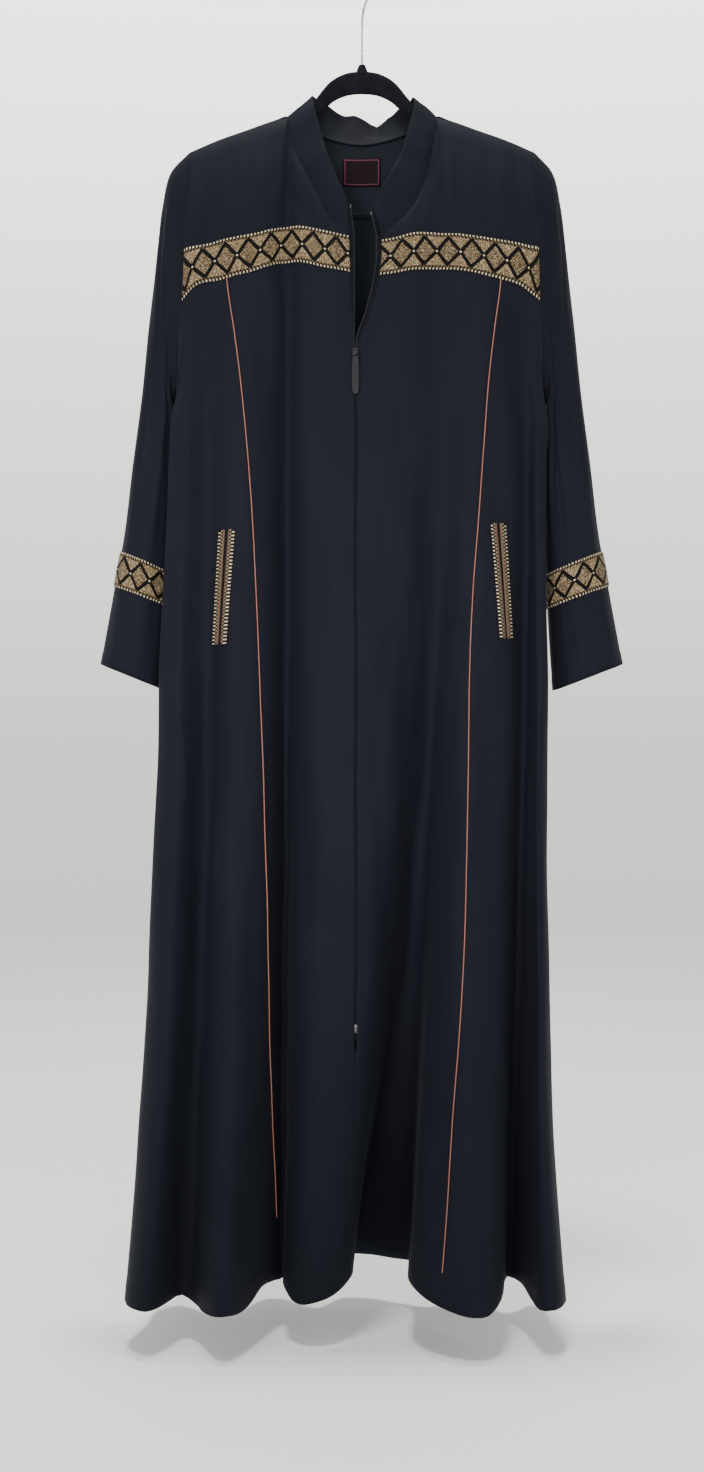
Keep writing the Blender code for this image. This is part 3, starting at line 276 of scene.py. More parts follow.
def frontGrid(which):
    half = halves[which]
    columns = half["side"] + half["centre"]
    neck = neckColumn(half)
    share = np.linspace(0, 1, columns + 1)
    share = share * share * (3 - 2 * share)
    yoke = frontRow(which, cut["yokeLevel"])
    along = (yoke[: neck + 1, 0] - yoke[0, 0]) / (yoke[neck, 0] - yoke[0, 0])
    seam = alongPoints([(half["sign"] * x, y, z) for x, y, z in cut["shoulder"]], along)
    top = np.vstack([seam, alongPoints(half["neck"], half["neckSteps"])[::-1][1:]])
    band = np.array([lookUp(cut["band"], x) for x in yoke[:, 0]])
    seamZ = band.mean(axis=1)
    yoke[0, 0] = sideX(which, seamZ[0])
    toBand = (band[:, 0] - top[:, 2]) / (seamZ - top[:, 2])
    grid = []
    for row in range(cut["yokeRow"] + 1):
        down = toBand if row == cut["bandTopRow"] else np.ones(columns + 1)
        if row < cut["bandTopRow"]:
            past = np.arange(columns + 1) - neck
            towardsZip = np.clip(past / cut["neckColumns"], 0, 1)
            step = cut["yokeSteps"][row]
            down = toBand * (step + (row / cut["bandTopRow"] - step) * towardsZip)
        swell = (1 - (1 - down) ** 2) ** cut["frontSwell"]
        x = top[:, 0] + (yoke[:, 0] - top[:, 0]) * down
        z = top[:, 2] + (seamZ - top[:, 2]) * down
        y = top[:, 1] + (yoke[:, 1] - top[:, 1]) * swell
        x[0] = sideX(which, z[0])
        grid.append(np.stack([x, y, z], axis=1))
    below = frontRow(which, cut["lowLevel"])
    low = [lookUp(cut["band"], x)[1] for x in below[:, 0]]
    below[0, 0] = sideX(which, low[0])
    grid.append(np.stack([below[:, 0], below[:, 1], low], axis=1))
    for atSide, atZip in cut["lowerRows"]:
        places = frontRow(which, 0.5 * (atSide + atZip))
        if atSide != atZip:
            places[0] = frontRow(which, atSide)[0]
            places[-1] = frontRow(which, atZip)[-1]
        places[:, 2] += atSide + (atZip - atSide) * share
        grid.append(places)
    grid = np.array(grid)
    for row in range(cut["bandBottomRow"] + 1):
        grid[row, 0, 1] = lookUp(cut["sides"], grid[row, 0, 2])[2]
        grid[row, 1, 1] = 0.5 * (grid[row, 0, 1] + grid[row, 2, 1])
    return grid


def backGrid(rightZ, leftZ):
    mirror = (-1, 1, 1)
    half = [(-x, y, z) for x, y, z in cut["backNeck"]]
    neck = alongPoints(half, cut["backNeckSteps"])
    neck = np.vstack([neck, (neck * mirror)[::-1][1:]])
    seam = alongPoints(cut["shoulder"], np.linspace(0, 1, cut["backShoulderColumns"] + 1))
    top = np.vstack([(seam * mirror)[:-1], neck, seam[::-1][1:]])
    columns = cut["backColumns"]
    outline = outlineAt("back", cut["chestLevel"])
    chest = spread(outline, 0, len(outline) - 1, columns)
    shoulderZ, underarmZ = cut["shoulderZ"], cut["underarmZ"]
    grid = []
    for row in range(cut["armpitRow"]):
        fromTop = [(z[row] - shoulderZ) / (underarmZ - shoulderZ) for z in (rightZ, leftZ)]
        down = fromTop[0] + (fromTop[1] - fromTop[0]) * np.linspace(0, 1, columns + 1)
        x = top[:, 0] + (chest[:, 0] - top[:, 0]) * down
        z = top[:, 2] + (underarmZ - top[:, 2]) * down
        swell = (1 - (1 - down) ** 2) ** cut["backSwell"]
        y = top[:, 1] + (chest[:, 1] - top[:, 1]) * swell
        for column, level, which in ((0, rightZ[row], "right"), (-1, leftZ[row], "left")):
            x[column] = sideX(which, level)
            z[column] = level
            y[column] = lookUp(cut["sides"], level)[3]
        y[1] = 0.5 * (y[0] + y[2])
        y[-2] = 0.5 * (y[-1] + y[-3])
        grid.append(np.stack([x, y, z], axis=1))
    for atSide, atZip in cut["lowerRows"][1:]:
        outline = outlineAt("back", atSide)
        places = spread(outline, 0, len(outline) - 1, columns)
        places[:, 2] = atSide
        grid.append(places)
    return np.array(grid)


sleeve = {
    # upper edge x, z, under edge x, z, middle y, half depth
    "rings": (
        (207, -239, 217, -530, 0, 26), (229, -261, 222.5, -540, 6, 26),
        (239, -298, 223.5, -560, 10, 26.5), (245, -341, 222, -590, 13, 27),
        (250.5, -388, 220, -622, 16, 28), (257, -444, 219.2, -654, 18, 29),
        (265, -522, 219.8, -686, 20, 30), (277, -612, 221, -716, 21, 31.5),
        (291, -716, 223, -744, 22, 33.5), (295.5, -737, 224, -764.5, 22, 34),
        (299, -758, 225.5, -785, 22.5, 34.5), (307.5, -806, 229, -836, 23, 36),
        (316, -852, 233, -884, 24, 37),
    ),
    "rightShift": (0.8, 5),
    "bandRow": 8,
    "cuffRow": 9,
    "ovalBy": 6,  # the first ring that is a full oval
    "round": 260.0,  # how far round it its creases' table counts
    "ripple": 0.8,
    "rippleRound": 2 * math.pi / 6.5,
    "outerKeeps": 0.35,
    "outerFade": (0, 22),
    "topFade": (3, 34),
}


def sleeveGrid(which, loop):  # from the armhole's own shape to flat ovals
    sign = halves[which]["sign"]
    shift = sleeve["rightShift"] if which == "right" else (0, 0)
    shoulder = loop[0]
    chord = loop[cut["armpitRow"]] - shoulder
    startShare = (loop - shoulder) @ chord / (chord @ chord)
    startDepth = loop[:, 1] - (shoulder[1] + startShare * chord[1])
    turn = 2 * math.pi * np.arange(len(loop)) / len(loop)
    rings = [loop.copy()]
    for number, (outX, outZ, underX, underZ, middle, depth) in enumerate(sleeve["rings"][1:], 1):
        outer = np.array([sign * (outX + shift[0]), middle, outZ])
        under = np.array([sign * (underX + shift[1]), middle, underZ])
        oval = min(1, number / sleeve["ovalBy"]) ** 0.8
        share = startShare + (0.5 - 0.5 * np.cos(turn) - startShare) * oval
        ring = outer + np.outer(share, under - outer)
        ring[:, 1] += startDepth + (-depth * np.sin(turn) - startDepth) * oval
        rings.append(ring)
    return np.array(rings)


collar = {
    # x and lift of the limp rim at the back
    "limpRim": (
        (-30, 0), (-21, 0.5), (-9, 4.5), (1, 1.5), (10, -3),
        (19, -5.5), (27, 0), (33, 3.5), (42, 0.5), (48, 0),
    ),
    # from the zip 0 by the right shoulder 1, the back 2 and the left shoulder 3 to the zip 4
    "rim": (
        (0, -16.7, -41, -311), (0.35, -32, -34.5, -276), (0.65, -45, -23, -237),
        (0.81, -52, -14, -208), (0.9, -56, -9.5, -191), (0.965, -59, -5, -179), (1, -60, 0, -172.5),
        (1.15, -57, 12, -169), (1.35, -52, 28, -165.5), (1.6, -41, 43, -168), (1.8, -22, 51, -179),
        (1.9, -10, 49, -177), (2, 3, 53, -183), (2.2, 21, 55, -190), (2.4, 37, 48, -179),
        (2.65, 50, 33, -172), (2.85, 59, 14, -174), (3, 62.5, 0, -174.5), (3.035, 63, -5, -183),
        (3.1, 60.5, -9.5, -194), (3.19, 57, -14, -209), (3.35, 49, -23, -240),
        (3.65, 31, -34.5, -278), (4, 13, -41, -319),
    ),
    "rows": 3,
    "bulge": 1.5,
    "limpDeep": (30, 44),  # the rim goes limp from here to there in y
    "limpUp": (4, 22),
    "tuck": (3.5, 1.1),  # how far its lower edge goes down and in behind the seam
}


def collarGrid(base):
    back = np.array(cut["backNeckSteps"])
    along = np.concatenate(
        [
            halves["right"]["neckSteps"],
            1 + back[1:],
            2 + (1 - back[::-1])[1:],
            3 + (1 - np.array(halves["left"]["neckSteps"])[::-1])[1:],
        ]
    )
    rim = np.array([lookUp(collar["rim"], place) for place in along])
    middle = base.mean(axis=0)
    rows = []
    for row in range(collar["rows"] + 1):
        points = base + (rim - base) * row / collar["rows"]
        outward = (points - middle) * (1, 1, 0)
        outward /= np.maximum(np.linalg.norm(outward, axis=1), 1e-6)[:, None]
        rows.append(points + outward * collar["bulge"] * math.sin(math.pi * row / collar["rows"]))
    return np.array(rows)


fronts = {which: frontGrid(which) for which in halves}
back = backGrid(fronts["right"][:, 0, 2], fronts["left"][:, 0, 2])
neckline = np.vstack(
    [
        fronts["right"][0, : neckColumn(halves["right"]) - 1 : -1],
        back[0, cut["backShoulderColumns"] + 1 : cut["backColumns"] - cut["backShoulderColumns"]],
        fronts["left"][0, neckColumn(halves["left"]) :],
    ]
)
collarForm = collarGrid(neckline)
sleeveForms = {}
for which, end in (("right", 0), ("left", -1)):
    armpit = cut["armpitRow"]
    loop = np.vstack([fronts[which][: armpit + 1, 0], back[armpit - 1 : 0 : -1, end]])
    sleeveForms[which] = sleeveGrid(which, loop)
print("cut laid out")

# fine cloth is drawn through the cut's coarse grid
cloth = {
    "thick": 0.8,
    "column": 5.0,
    "row": 6.0,
    "hemTurn": 24.0,
    "cuffTurn": 15.0,
    "hemThick": 0.45,
    "topFade": (2, 26),  # creases grow between these distances from an edge
    "sideFade": (1, 30),
    "zipFade": (3, 26),
    "zipKeeps": 0.25,
    "seamIn": 1.3,
    "seamSunk": 0.5,
    "seamLap": 0.25,
}


def unit(vectors):
    return vectors / np.maximum(np.linalg.norm(vectors, axis=-1, keepdims=True), 1e-9)


def refineLines(grid, counts):  # finer along the first axis, each line on its own smooth curve
    marks = np.r_[0, np.cumsum(counts)]
    parts = [start + np.arange(n) / n for start, n in enumerate(counts)] + [[len(counts)]]
    at = np.concatenate(parts)
    whole = np.minimum(at.astype(int), len(counts) - 1)
    made = np.empty((len(at),) + grid.shape[1:])
    for k in range(grid.shape[1]):
        line = grid[:, k]
        steps = np.maximum(np.linalg.norm(np.diff(line, axis=0), axis=1), 1e-6)
        knots = np.r_[0, np.cumsum(steps)]
        places = knots[whole] + (at - whole) * steps[whole]
        made[:, k] = smoothThrough(knots, line, places)
    return made, marks


def countsFor(grid, step):
    lengths = np.linalg.norm(np.diff(grid, axis=0), axis=2).mean(axis=1)
    return np.maximum(1, np.round(lengths / step)).astype(int)


def refined(grid, closed=False, row=None, column=None):
    pad = 3
    if closed:
        grid = np.concatenate([grid[:, -pad:], grid, grid[:, : pad + 1]], axis=1)
    fine, rowMarks = refineLines(grid, countsFor(grid, row or cloth["row"]))
    turned = fine.transpose(1, 0, 2)
    counts = countsFor(grid.transpose(1, 0, 2), column or cloth["column"])
    fine, columnMarks = refineLines(turned, counts)
    fine = fine.transpose(1, 0, 2)
    if closed:
        first, last = columnMarks[pad], columnMarks[-1 - pad]
        fine = fine[:, first:last]
        columnMarks = columnMarks[pad:-pad] - first
    return fine, rowMarks, columnMarks


def normalsOf(grid, sign, closed=False):
    if closed:
        grid = np.concatenate([grid[:, -1:], grid, grid[:, :1]], axis=1)
    down = np.gradient(grid, axis=0)
    across = np.gradient(grid, axis=1)
    normals = unit(np.cross(down, across)) * sign
    return normals[:, 1:-1] if closed else normals


def smoothStep(value, low, high):
    t = np.clip((value - low) / (high - low), 0, 1)
    return t * t * (3 - 2 * t)


def creaseAt(u, v, rows):  # soft valleys and ridges along bent lines: u0 v0 u1 v1 bow width depth
    lift = np.zeros_like(u)
    for u0, v0, u1, v1, bow, width, depth in rows:
        run = np.array([u1 - u0, v1 - v0], float)
        length = np.linalg.norm(run)
        run /= length
        along = ((u - u0) * run[0] + (v - v0) * run[1]) / length
        off = (u - u0) * -run[1] + (v - v0) * run[0] - bow * 4 * along * (1 - along)
        taper = np.clip(along, 0, 1) * np.clip(1 - along, 0, 1) * 4
        taper = np.clip(taper, 0, 1) ** 0.7
        near = (off / width) ** 2  # beside a crease the cloth goes a little the other way
        lift += depth * taper * (np.exp(-near) - 0.38 * np.exp(-near / 5.5))
    return lift


def ripple(u, v, seed):  # slow unevenness of hanging cloth, mostly down its length
    total = np.zeros_like(u)
    waves = ((41, 0.10, 0.55), (27, -0.16, 0.32), (17, 0.08, 0.16), (73, 0.22, 0.7))
    for k, (length, lean, size) in enumerate(waves):
        phase = seed * 1.7 + k * 2.1
        bend = 0.9 * np.sin(v / (190 + 37 * k) + phase)
        fade = 0.6 + 0.4 * np.sin(v / (130 + 29 * k) + 2.3 * phase)
        total += size * fade * np.sin(2 * math.pi * (u + lean * v) / length + bend + phase)
    return total


creases = {
    # x and z at both ends, bow, width, depth (a minus sinks), seen from the front
    "front": (
        (-71, -262, -30, -343, 5, 5.5, -3.4), (-58, -262, -22, -330, 4, 6, 2.2),
        (-84, -300, -52, -352, 3, 6, -1.5), (83, -246, 64, -340, -4, 5.5, -3.0),
        (95, -262, 76, -338, -3, 6, 1.8), (-144, -236, -146, -342, 2, 6, 2.1),
        (-131, -232, -134, -344, 0, 5, -1.7), (-118, -240, -116, -338, -2, 6, 1.9),
        (-98, -228, -104, -300, 1, 7, -1.4), (-166, -244, -172, -350, -2, 8, -1.6),
        (-186, -250, -190, -352, 0, 7, 1.3), (101, -226, 104, -338, 2, 5, 1.7),
        (115, -228, 112, -340, 1, 5, -1.8), (134, -232, 131, -344, -1, 6, 1.9),
        (147, -236, 149, -348, 1, 5, -1.8), (166, -240, 162, -350, 0, 6, 1.6),
        (184, -246, 188, -352, 0, 6, -1.5), (127, -397, 123, -505, 2, 6, -2.2),
        (56, -402, 30, -440, 3, 6, -1.9), (-46, -396, -26, -452, -3, 7, -1.6),
        (-22, -404, -20, -476, 2, 8, 1.5), (172, -402, 178, -520, 3, 7, -1.9),
        (-190, -420, -196, -560, -3, 8, -1.7), (-168, -402, -160, -560, 4, 9, 1.6),
        (-118, -400, -112, -560, -3, 9, -1.8), (-60, -420, -52, -640, 5, 9, -1.6),
        (-40, -520, -66, -860, 8, 12, -1.8), (18, -450, 26, -700, -5, 10, -1.7),
        (62, -470, 50, -790, 6, 11, 1.9), (30, -660, 6, -1010, 8, 12, -1.9),
        (104, -560, 92, -900, 5, 8, -2.2), (150, -520, 158, -700, 4, 10, -1.8),
        (192, -600, 186, -930, -6, 10, -1.9), (-204, -600, -212, -900, 6, 10, -1.9),
        (-170, -840, -186, -1160, 5, 13, -1.9), (-136, -660, -142, -1010, -6, 11, -2.0),
        (-106, -880, -116, -1250, 5, 9, 2.0), (-74, -780, -66, -1160, -6, 11, -1.9),
        (-50, -900, -40, -1340, 9, 12, -2.1), (-34, -1040, -58, -1500, -9, 12, 1.9),
        (22, -1000, 4, -1390, 8, 10, -2.0), (62, -1010, 50, -1260, 4, 6, -2.6),
        (96, -940, 84, -1320, -7, 10, -2.1), (146, -760, 138, -1120, 8, 12, -2.0),
        (124, -1060, 130, -1420, -7, 13, -2.1), (90, -1400, 66, -1525, 4, 7, -2.8),
        (-196, -1100, -224, -1500, 9, 13, -2.1), (-150, -1180, -156, -1540, -7, 12, -2.1),
        (-228, -1010, -240, -1390, -5, 11, 1.9), (-122, -1380, -130, -1560, 3, 9, -2.0),
        (-76, -1300, -80, -1560, -4, 10, -2.2), (166, -1180, 158, -1550, 7, 12, -2.1),
        (204, -1000, 206, -1400, -5, 10, -1.9), (106, -1300, 100, -1560, 4, 9, 1.9),
        (-24, -470, -22, -1100, 3, 4, -0.9), (6, -470, 5, -1150, -3, 4, -0.8),
    ),
    "back": (
        (-70, -214, -96, -420, 8, 9, -2.2), (-28, -226, -44, -470, 6, 10, -1.7),
        (34, -224, 52, -450, -7, 9, -1.9), (82, -214, 106, -400, -6, 8, -2.3),
        (-128, -226, -140, -460, 4, 9, 1.7), (-164, -240, -172, -470, -4, 8, -2.0),
        (132, -224, 138, -430, 5, 8, 1.7), (168, -238, 178, -460, 4, 8, -2.0),
        (-4, -250, -2, -560, 6, 12, 1.6), (-190, -400, -184, -640, 6, 9, -2.2),
        (-158, -470, -150, -720, -5, 10, 2.0), (192, -390, 184, -630, -6, 9, -2.2),
        (150, -480, 146, -740, 5, 10, 1.8), (-90, -470, -84, -800, 9, 12, -2.0),
        (-38, -560, -30, -900, -9, 12, -2.0), (16, -520, 26, -820, 9, 12, -1.9),
        (84, -500, 78, -860, -8, 12, -2.0), (122, -640, 134, -980, 7, 11, -1.9),
        (-124, -700, -136, -1060, 7, 11, -2.0), (-186, -780, -196, -1160, -7, 12, -2.0),
        (184, -760, 190, -1120, 6, 11, -2.0), (-66, -880, -60, -1280, 9, 12, -2.1),
        (-10, -860, -22, -1300, -10, 13, -2.1), (44, -900, 62, -1330, 10, 13, -2.1),
        (104, -960, 118, -1400, -8, 12, -2.1), (156, -1040, 164, -1480, 8, 12, -2.1),
        (-150, -1080, -158, -1500, -8, 12, -2.1), (-96, -1200, -92, -1560, 7, 12, 2.0),
        (-208, -1180, -222, -1550, 6, 11, -2.0), (10, -1240, 20, -1570, -6, 12, -2.2),
        (74, -1280, 70, -1570, 6, 11, 1.9), (196, -1160, 210, -1540, -6, 11, -2.0),
    ),
    # round the sleeve from its outer edge in front (0 to 1) times 260 mm, and down it
    "sleeve": (
        (80, 15, 68, 350, 4, 6.5, 3.4), (97, 20, 90, 330, 3, 7, -3.0),
        (20, 40, 52, 190, 6, 9, -2.6), (58, 30, 78, 220, -5, 9, -2.2),
        (94, 60, 100, 260, 4, 8, 2.0), (36, 170, 30, 430, 7, 10, -2.5),
        (70, 230, 84, 500, -7, 11, -2.2), (108, 200, 112, 470, 5, 9, -2.3),
        (14, 330, 20, 560, -5, 9, 2.1), (52, 420, 46, 590, 4, 9, -2.0),
        (92, 430, 98, 610, 5, 9, 1.9), (120, 60, 124, 200, 3, 8, -2.4),
        (150, 50, 168, 230, 6, 9, -2.4), (186, 40, 196, 240, -6, 10, -2.1),
        (226, 60, 214, 250, 5, 9, -2.4), (160, 230, 154, 470, -6, 10, -2.4),
        (198, 240, 208, 500, 7, 11, -2.2), (232, 270, 236, 560, -5, 9, 2.0),
        (176, 430, 182, 600, 5, 9, -2.0),
    ),
}


def pathLength(grid, axis):
    steps = np.linalg.norm(np.diff(grid, axis=axis), axis=2)
    first = np.zeros(steps.shape[:axis] + (1,) + steps.shape[axis + 1 :])
    return np.concatenate([first, np.cumsum(steps, axis=axis)], axis=axis)


def dressedPanel(grid, sign, face, seed, opens=False):
    # the fine grid with its creases, which fade at the seams that other pieces share
    fine, rowMarks, columnMarks = refined(grid)
    x, z = fine[..., 0], fine[..., 2]
    lift = creaseAt(x, z, creases[face]) + ripple(x + 0.35 * fine[..., 1], z, seed)
    across = pathLength(fine, 1)
    toEnd = across[:, -1:] - across
    mask = smoothStep(pathLength(fine, 0), *cloth["topFade"])
    mask = mask * smoothStep(across if opens else np.minimum(across, toEnd), *cloth["sideFade"])
    if opens:  # the edge at the zip keeps some of them
        kept = cloth["zipKeeps"]
        mask = mask * (kept + (1 - kept) * smoothStep(toEnd, *cloth["zipFade"]))
    return fine + normalsOf(fine, sign) * (lift * mask)[..., None], rowMarks, columnMarks


fine = {
    which: dressedPanel(fronts[which], -half["sign"], "front", half["seeds"][0], True)
    for which, half in halves.items()
}
fineBack = dressedPanel(back, -1, "back", cut["backSeed"])

# how far the fronts' hem rises or drops at each column, so that its lobes end round
hemLift = {
    "reach": 120.0,
    "right": (0, 0, 0, 0, 0, 0, 0, 0, 1, 1, -5, -8, -4, 0, -1, -3, 1, 11, 9, 6, 7)
    + (9, 10, 11, 8, -1, -4, -2, 1, 4, 9, 15, 20),
    "left": (0, 0, 0, 0, 0, 0, 0, -2, 7, 7, 6, 8, 12, 13, 5, -2, -2, 0, 6, 11, 17)
    + (20, 18, 14, 9, 5, 3, 2, 3, 6, 7, 5, 4, 10, 16, 19, 20),
}
# under the arm the front rolls out and the sleeve leans in, so no light shows between them
underArm = {
    "right": {"front": 4.8, "sleeve": 3.2, "at": -558.0, "reach": 25.0},
    "left": {"front": 6.0, "sleeve": 3.4, "at": -566.0, "reach": 33.0},
    "sideFrom": (188, 212),  # only the fronts' side folds roll out
    "deepFrom": (4, 13),
    "innerTo": (2, 30),  # only the sleeve's inner side leans in
}


def underArmShare(grid, which):
    arm = underArm[which]
    return np.exp(-(((grid[..., 2] - arm["at"]) / arm["reach"]) ** 2))


for which, half in halves.items():
    grid, rowMarks, columnMarks = fine[which]
    lifts = np.array(hemLift[which], float)[:, None]
    lift = smoothThrough(columnMarks, lifts, np.arange(grid.shape[1]))
    up = pathLength(grid[::-1], 0)[::-1]
    grid[..., 2] += lift[:, 0] * (1 - smoothStep(up, 0, hemLift["reach"]))
    share = underArmShare(grid, which)
    share = share * smoothStep(np.abs(grid[..., 0]), *underArm["sideFrom"])
    share = share * smoothStep(-grid[..., 1], *underArm["deepFrom"])
    grid[..., 0] += half["sign"] * underArm[which]["front"] * share


def dressedSleeve(which):
    sign = halves[which]["sign"]
    grid, rowMarks, columnMarks = refined(sleeveForms[which], closed=True)
    columns = grid.shape[1]
    turn = np.broadcast_to(np.arange(columns) / columns * sleeve["round"], grid.shape[:2])
    down = pathLength(grid, 0)
    lift = creaseAt(turn, down, creases["sleeve"])
    uneven = ripple(turn * sleeve["rippleRound"], down, halves[which]["seeds"][1])
    lift += sleeve["ripple"] * uneven
    fromOuter = np.minimum(turn, sleeve["round"] - turn)
    kept = sleeve["outerKeeps"]
    lift *= kept + (1 - kept) * smoothStep(fromOuter, *sleeve["outerFade"])
    lift *= smoothStep(down, *sleeve["topFade"])
    made = grid + normalsOf(grid, -sign, closed=True) * lift[..., None]
    outward = made[..., 0] * sign
    fromInner = outward - outward.min(axis=1, keepdims=True)
    lean = underArm[which]["sleeve"] * underArmShare(made, which)
    made[..., 0] -= sign * lean * (1 - smoothStep(fromInner, *underArm["innerTo"]))
    return made, rowMarks, columnMarks


fineSleeves = {which: dressedSleeve(which) for which in halves}
print("cloth refined and creased")


def meshFrom(name, points, faces, uv=None):
    mesh = bpy.data.meshes.new(name)
    mesh.from_pydata((np.asarray(points) * mm).tolist(), [], faces)
    if uv is not None:
        layer = mesh.uv_layers.new(name="clothMap")
        loops = np.empty(len(mesh.loops), int)
        mesh.loops.foreach_get("vertex_index", loops)
        layer.data.foreach_set("uv", np.asarray(uv, float)[loops].ravel())
    mesh.shade_smooth()
    mesh.update()
    return linked(bpy.data.objects.new(name, mesh))


def linked(obj):
    bpy.context.scene.collection.objects.link(obj)
    return obj


def turnedIn(grid, normals, edge, inside, lap, sunk):
    # a sewn edge turns in: one more line just inside it, and the edge itself sinks
    across, atEnd = edge in ("start", "end"), edge in ("bottom", "end")
    if across:
        grid, normals = grid.transpose(1, 0, 2), normals.transpose(1, 0, 2)
    if atEnd:
        grid, normals = grid[::-1], normals[::-1]
    step = grid[1] - grid[0]
    length = np.maximum(np.linalg.norm(step, axis=-1, keepdims=True), 1e-6)
    near = grid[0] + step * np.minimum(inside / length, 0.45)
    sewn = grid[0] - step / length * lap - normals[0] * sunk
    grid = np.concatenate([sewn[None], near[None], grid[1:]])
    normals = np.concatenate([normals[:1], normals[:1], normals[1:]])
    if atEnd:
        grid, normals = grid[::-1], normals[::-1]
    if across:
        grid, normals = grid.transpose(1, 0, 2), normals.transpose(1, 0, 2)
    return grid, normals


outerFaces = {}  # how many faces each shell's outer skin has; its inner skin has as many


def shell(name, grid, normals, thick, closed, height, flip):
    # a thin closed skin: the outer face, the inner face and the rim between them
    rows, columns = grid.shape[:2]
    u, v = pathLength(grid, 1), pathLength(grid, 0)
    if height:  # a woven pattern fills its band from edge to edge
        v = v / v[-1:] * height
    if closed:
        u = np.broadcast_to(np.arange(columns) / columns * u[:, -1:].mean(), u.shape)
    points = np.vstack([grid.reshape(-1, 3), (grid - normals * thick).reshape(-1, 3)])
    uv = np.tile(np.stack([u, v], axis=-1).reshape(-1, 2), (2, 1))
    half = rows * columns
    index = np.arange(half).reshape(rows, columns)
    after = np.roll(index, -1, axis=1)
    span = columns if closed else columns - 1
    corners = (index[:-1, :span], index[1:, :span], after[1:, :span], after[:-1, :span])
    quads = np.stack(corners, axis=-1).reshape(-1, 4)
    outerFaces[name] = len(quads)
    rims = [(index[0, :span], after[0, :span]), (after[-1, :span], index[-1, :span])]
    if not closed:
        rims += [(index[1:, 0], index[:-1, 0]), (index[:-1, -1], index[1:, -1])]
    faces = [quads, quads[:, ::-1] + half]
    faces += [np.stack([one, two, two + half, one + half], axis=-1) for one, two in rims]
    faces = np.vstack(faces)
    return meshFrom(name, points, (faces[:, ::-1] if flip else faces).tolist(), uv)


sheets = []


def clothPiece(
    name, grid, sign, edges, closed=False, thick=None, sunk=None, height=None, slit=None
):
    # a panel with its sewn edges turned in, and the flat size that it was cut to
    normals = normalsOf(grid, sign, closed)
    for edge in edges:
        turn = (cloth["seamIn"], cloth["seamLap"], sunk or cloth["seamSunk"])
        if slit and edge == "end":
            turn = slit(grid[:, -1, 2])
        grid, normals = turnedIn(grid, normals, edge, *turn)
    obj = shell(name, grid, normals, thick or cloth["thick"], closed, height, sign < 0)
    whole = np.concatenate([grid, grid[:, :1]], axis=1) if closed else grid
    flat = (pathLength(whole, 1)[:, -1].max() * mm, pathLength(whole, 0)[-1].max() * mm)
    one, two = whole[1:, 1:] - whole[:-1, :-1], whole[:-1, 1:] - whole[1:, :-1]
    area = 0.5 * np.linalg.norm(np.cross(one, two), axis=-1).sum()
    sheets.append((obj, flat, area * mm * mm))
    return obj


class Sock:
    # an output socket of one node, which can be used in sums
    def __init__(self, shading, socket):
        self.shading = shading
        self.socket = socket

    def maths(self, operation, *values):
        sockets = {f"_{number}": value for number, value in enumerate(values)}
        return self.shading.node("Math", {"operation": operation}, **sockets)

    def __add__(self, other):
        return self.maths("ADD", self, other)

    def __radd__(self, other):
        return self.maths("ADD", other, self)

    def __sub__(self, other):
        return self.maths("SUBTRACT", self, other)

    def __rsub__(self, other):
        return self.maths("SUBTRACT", other, self)

    def __mul__(self, other):
        return self.maths("MULTIPLY", self, other)

    def __rmul__(self, other):
        return self.maths("MULTIPLY", other, self)

    def __truediv__(self, other):
        return self.maths("DIVIDE", self, other)

    def __rtruediv__(self, other):
        return self.maths("DIVIDE", other, self)

    def __lt__(self, other):
        return self.maths("LESS_THAN", self, other)

    def __gt__(self, other):
        return self.maths("GREATER_THAN", self, other)

    def sin(self):
        return self.maths("SINE", self)

    def abs(self):
        return self.maths("ABSOLUTE", self)

    def fract(self):
        return self.maths("FRACT", self)

    def root(self):
        return self.maths("SQRT", self)

    def least(self, other):
        return self.maths("MINIMUM", self, other)

    def between(self, low, high):  # 1 inside a range, 0 outside
        return (self > low) * (self < high)

    def ramp(self, low, high):  # 0 to 1 between two values, with soft ends
        settings = {"interpolation_type": "SMOOTHSTEP"}
        return self.shading.node("MapRange", settings, _0=self, _1=low, _2=high)


class Shading:
    # a node tree and the one call that adds a node to it
    def __init__(self, tree):
        self.tree = tree

    def node(self, kind, settings=None, output=0, **sockets):
        # its settings first, then its sockets' values or links, by name or by _number
        made = self.tree.nodes.new("ShaderNode" + kind)
        for key, value in (settings or {}).items():
            if key == "stops":
                self.fillRamp(made.color_ramp.elements, value)
            else:
                setattr(made, key, value)
        for key, value in sockets.items():
            self.feed(made.inputs[int(key[1:]) if key[1:].isdigit() else key], value)
        return Sock(self, made.outputs[output])

    def feed(self, slot, value):
        if isinstance(value, Sock):
            self.tree.links.new(value.socket, slot)
        else:
            slot.default_value = value

    def fillRamp(self, stops, wanted):
        for number, (place, colour) in enumerate(wanted):
            stop = stops[number] if number < 2 else stops.new(place)
            stop.position = place
            stop.color = (*colour, 1)


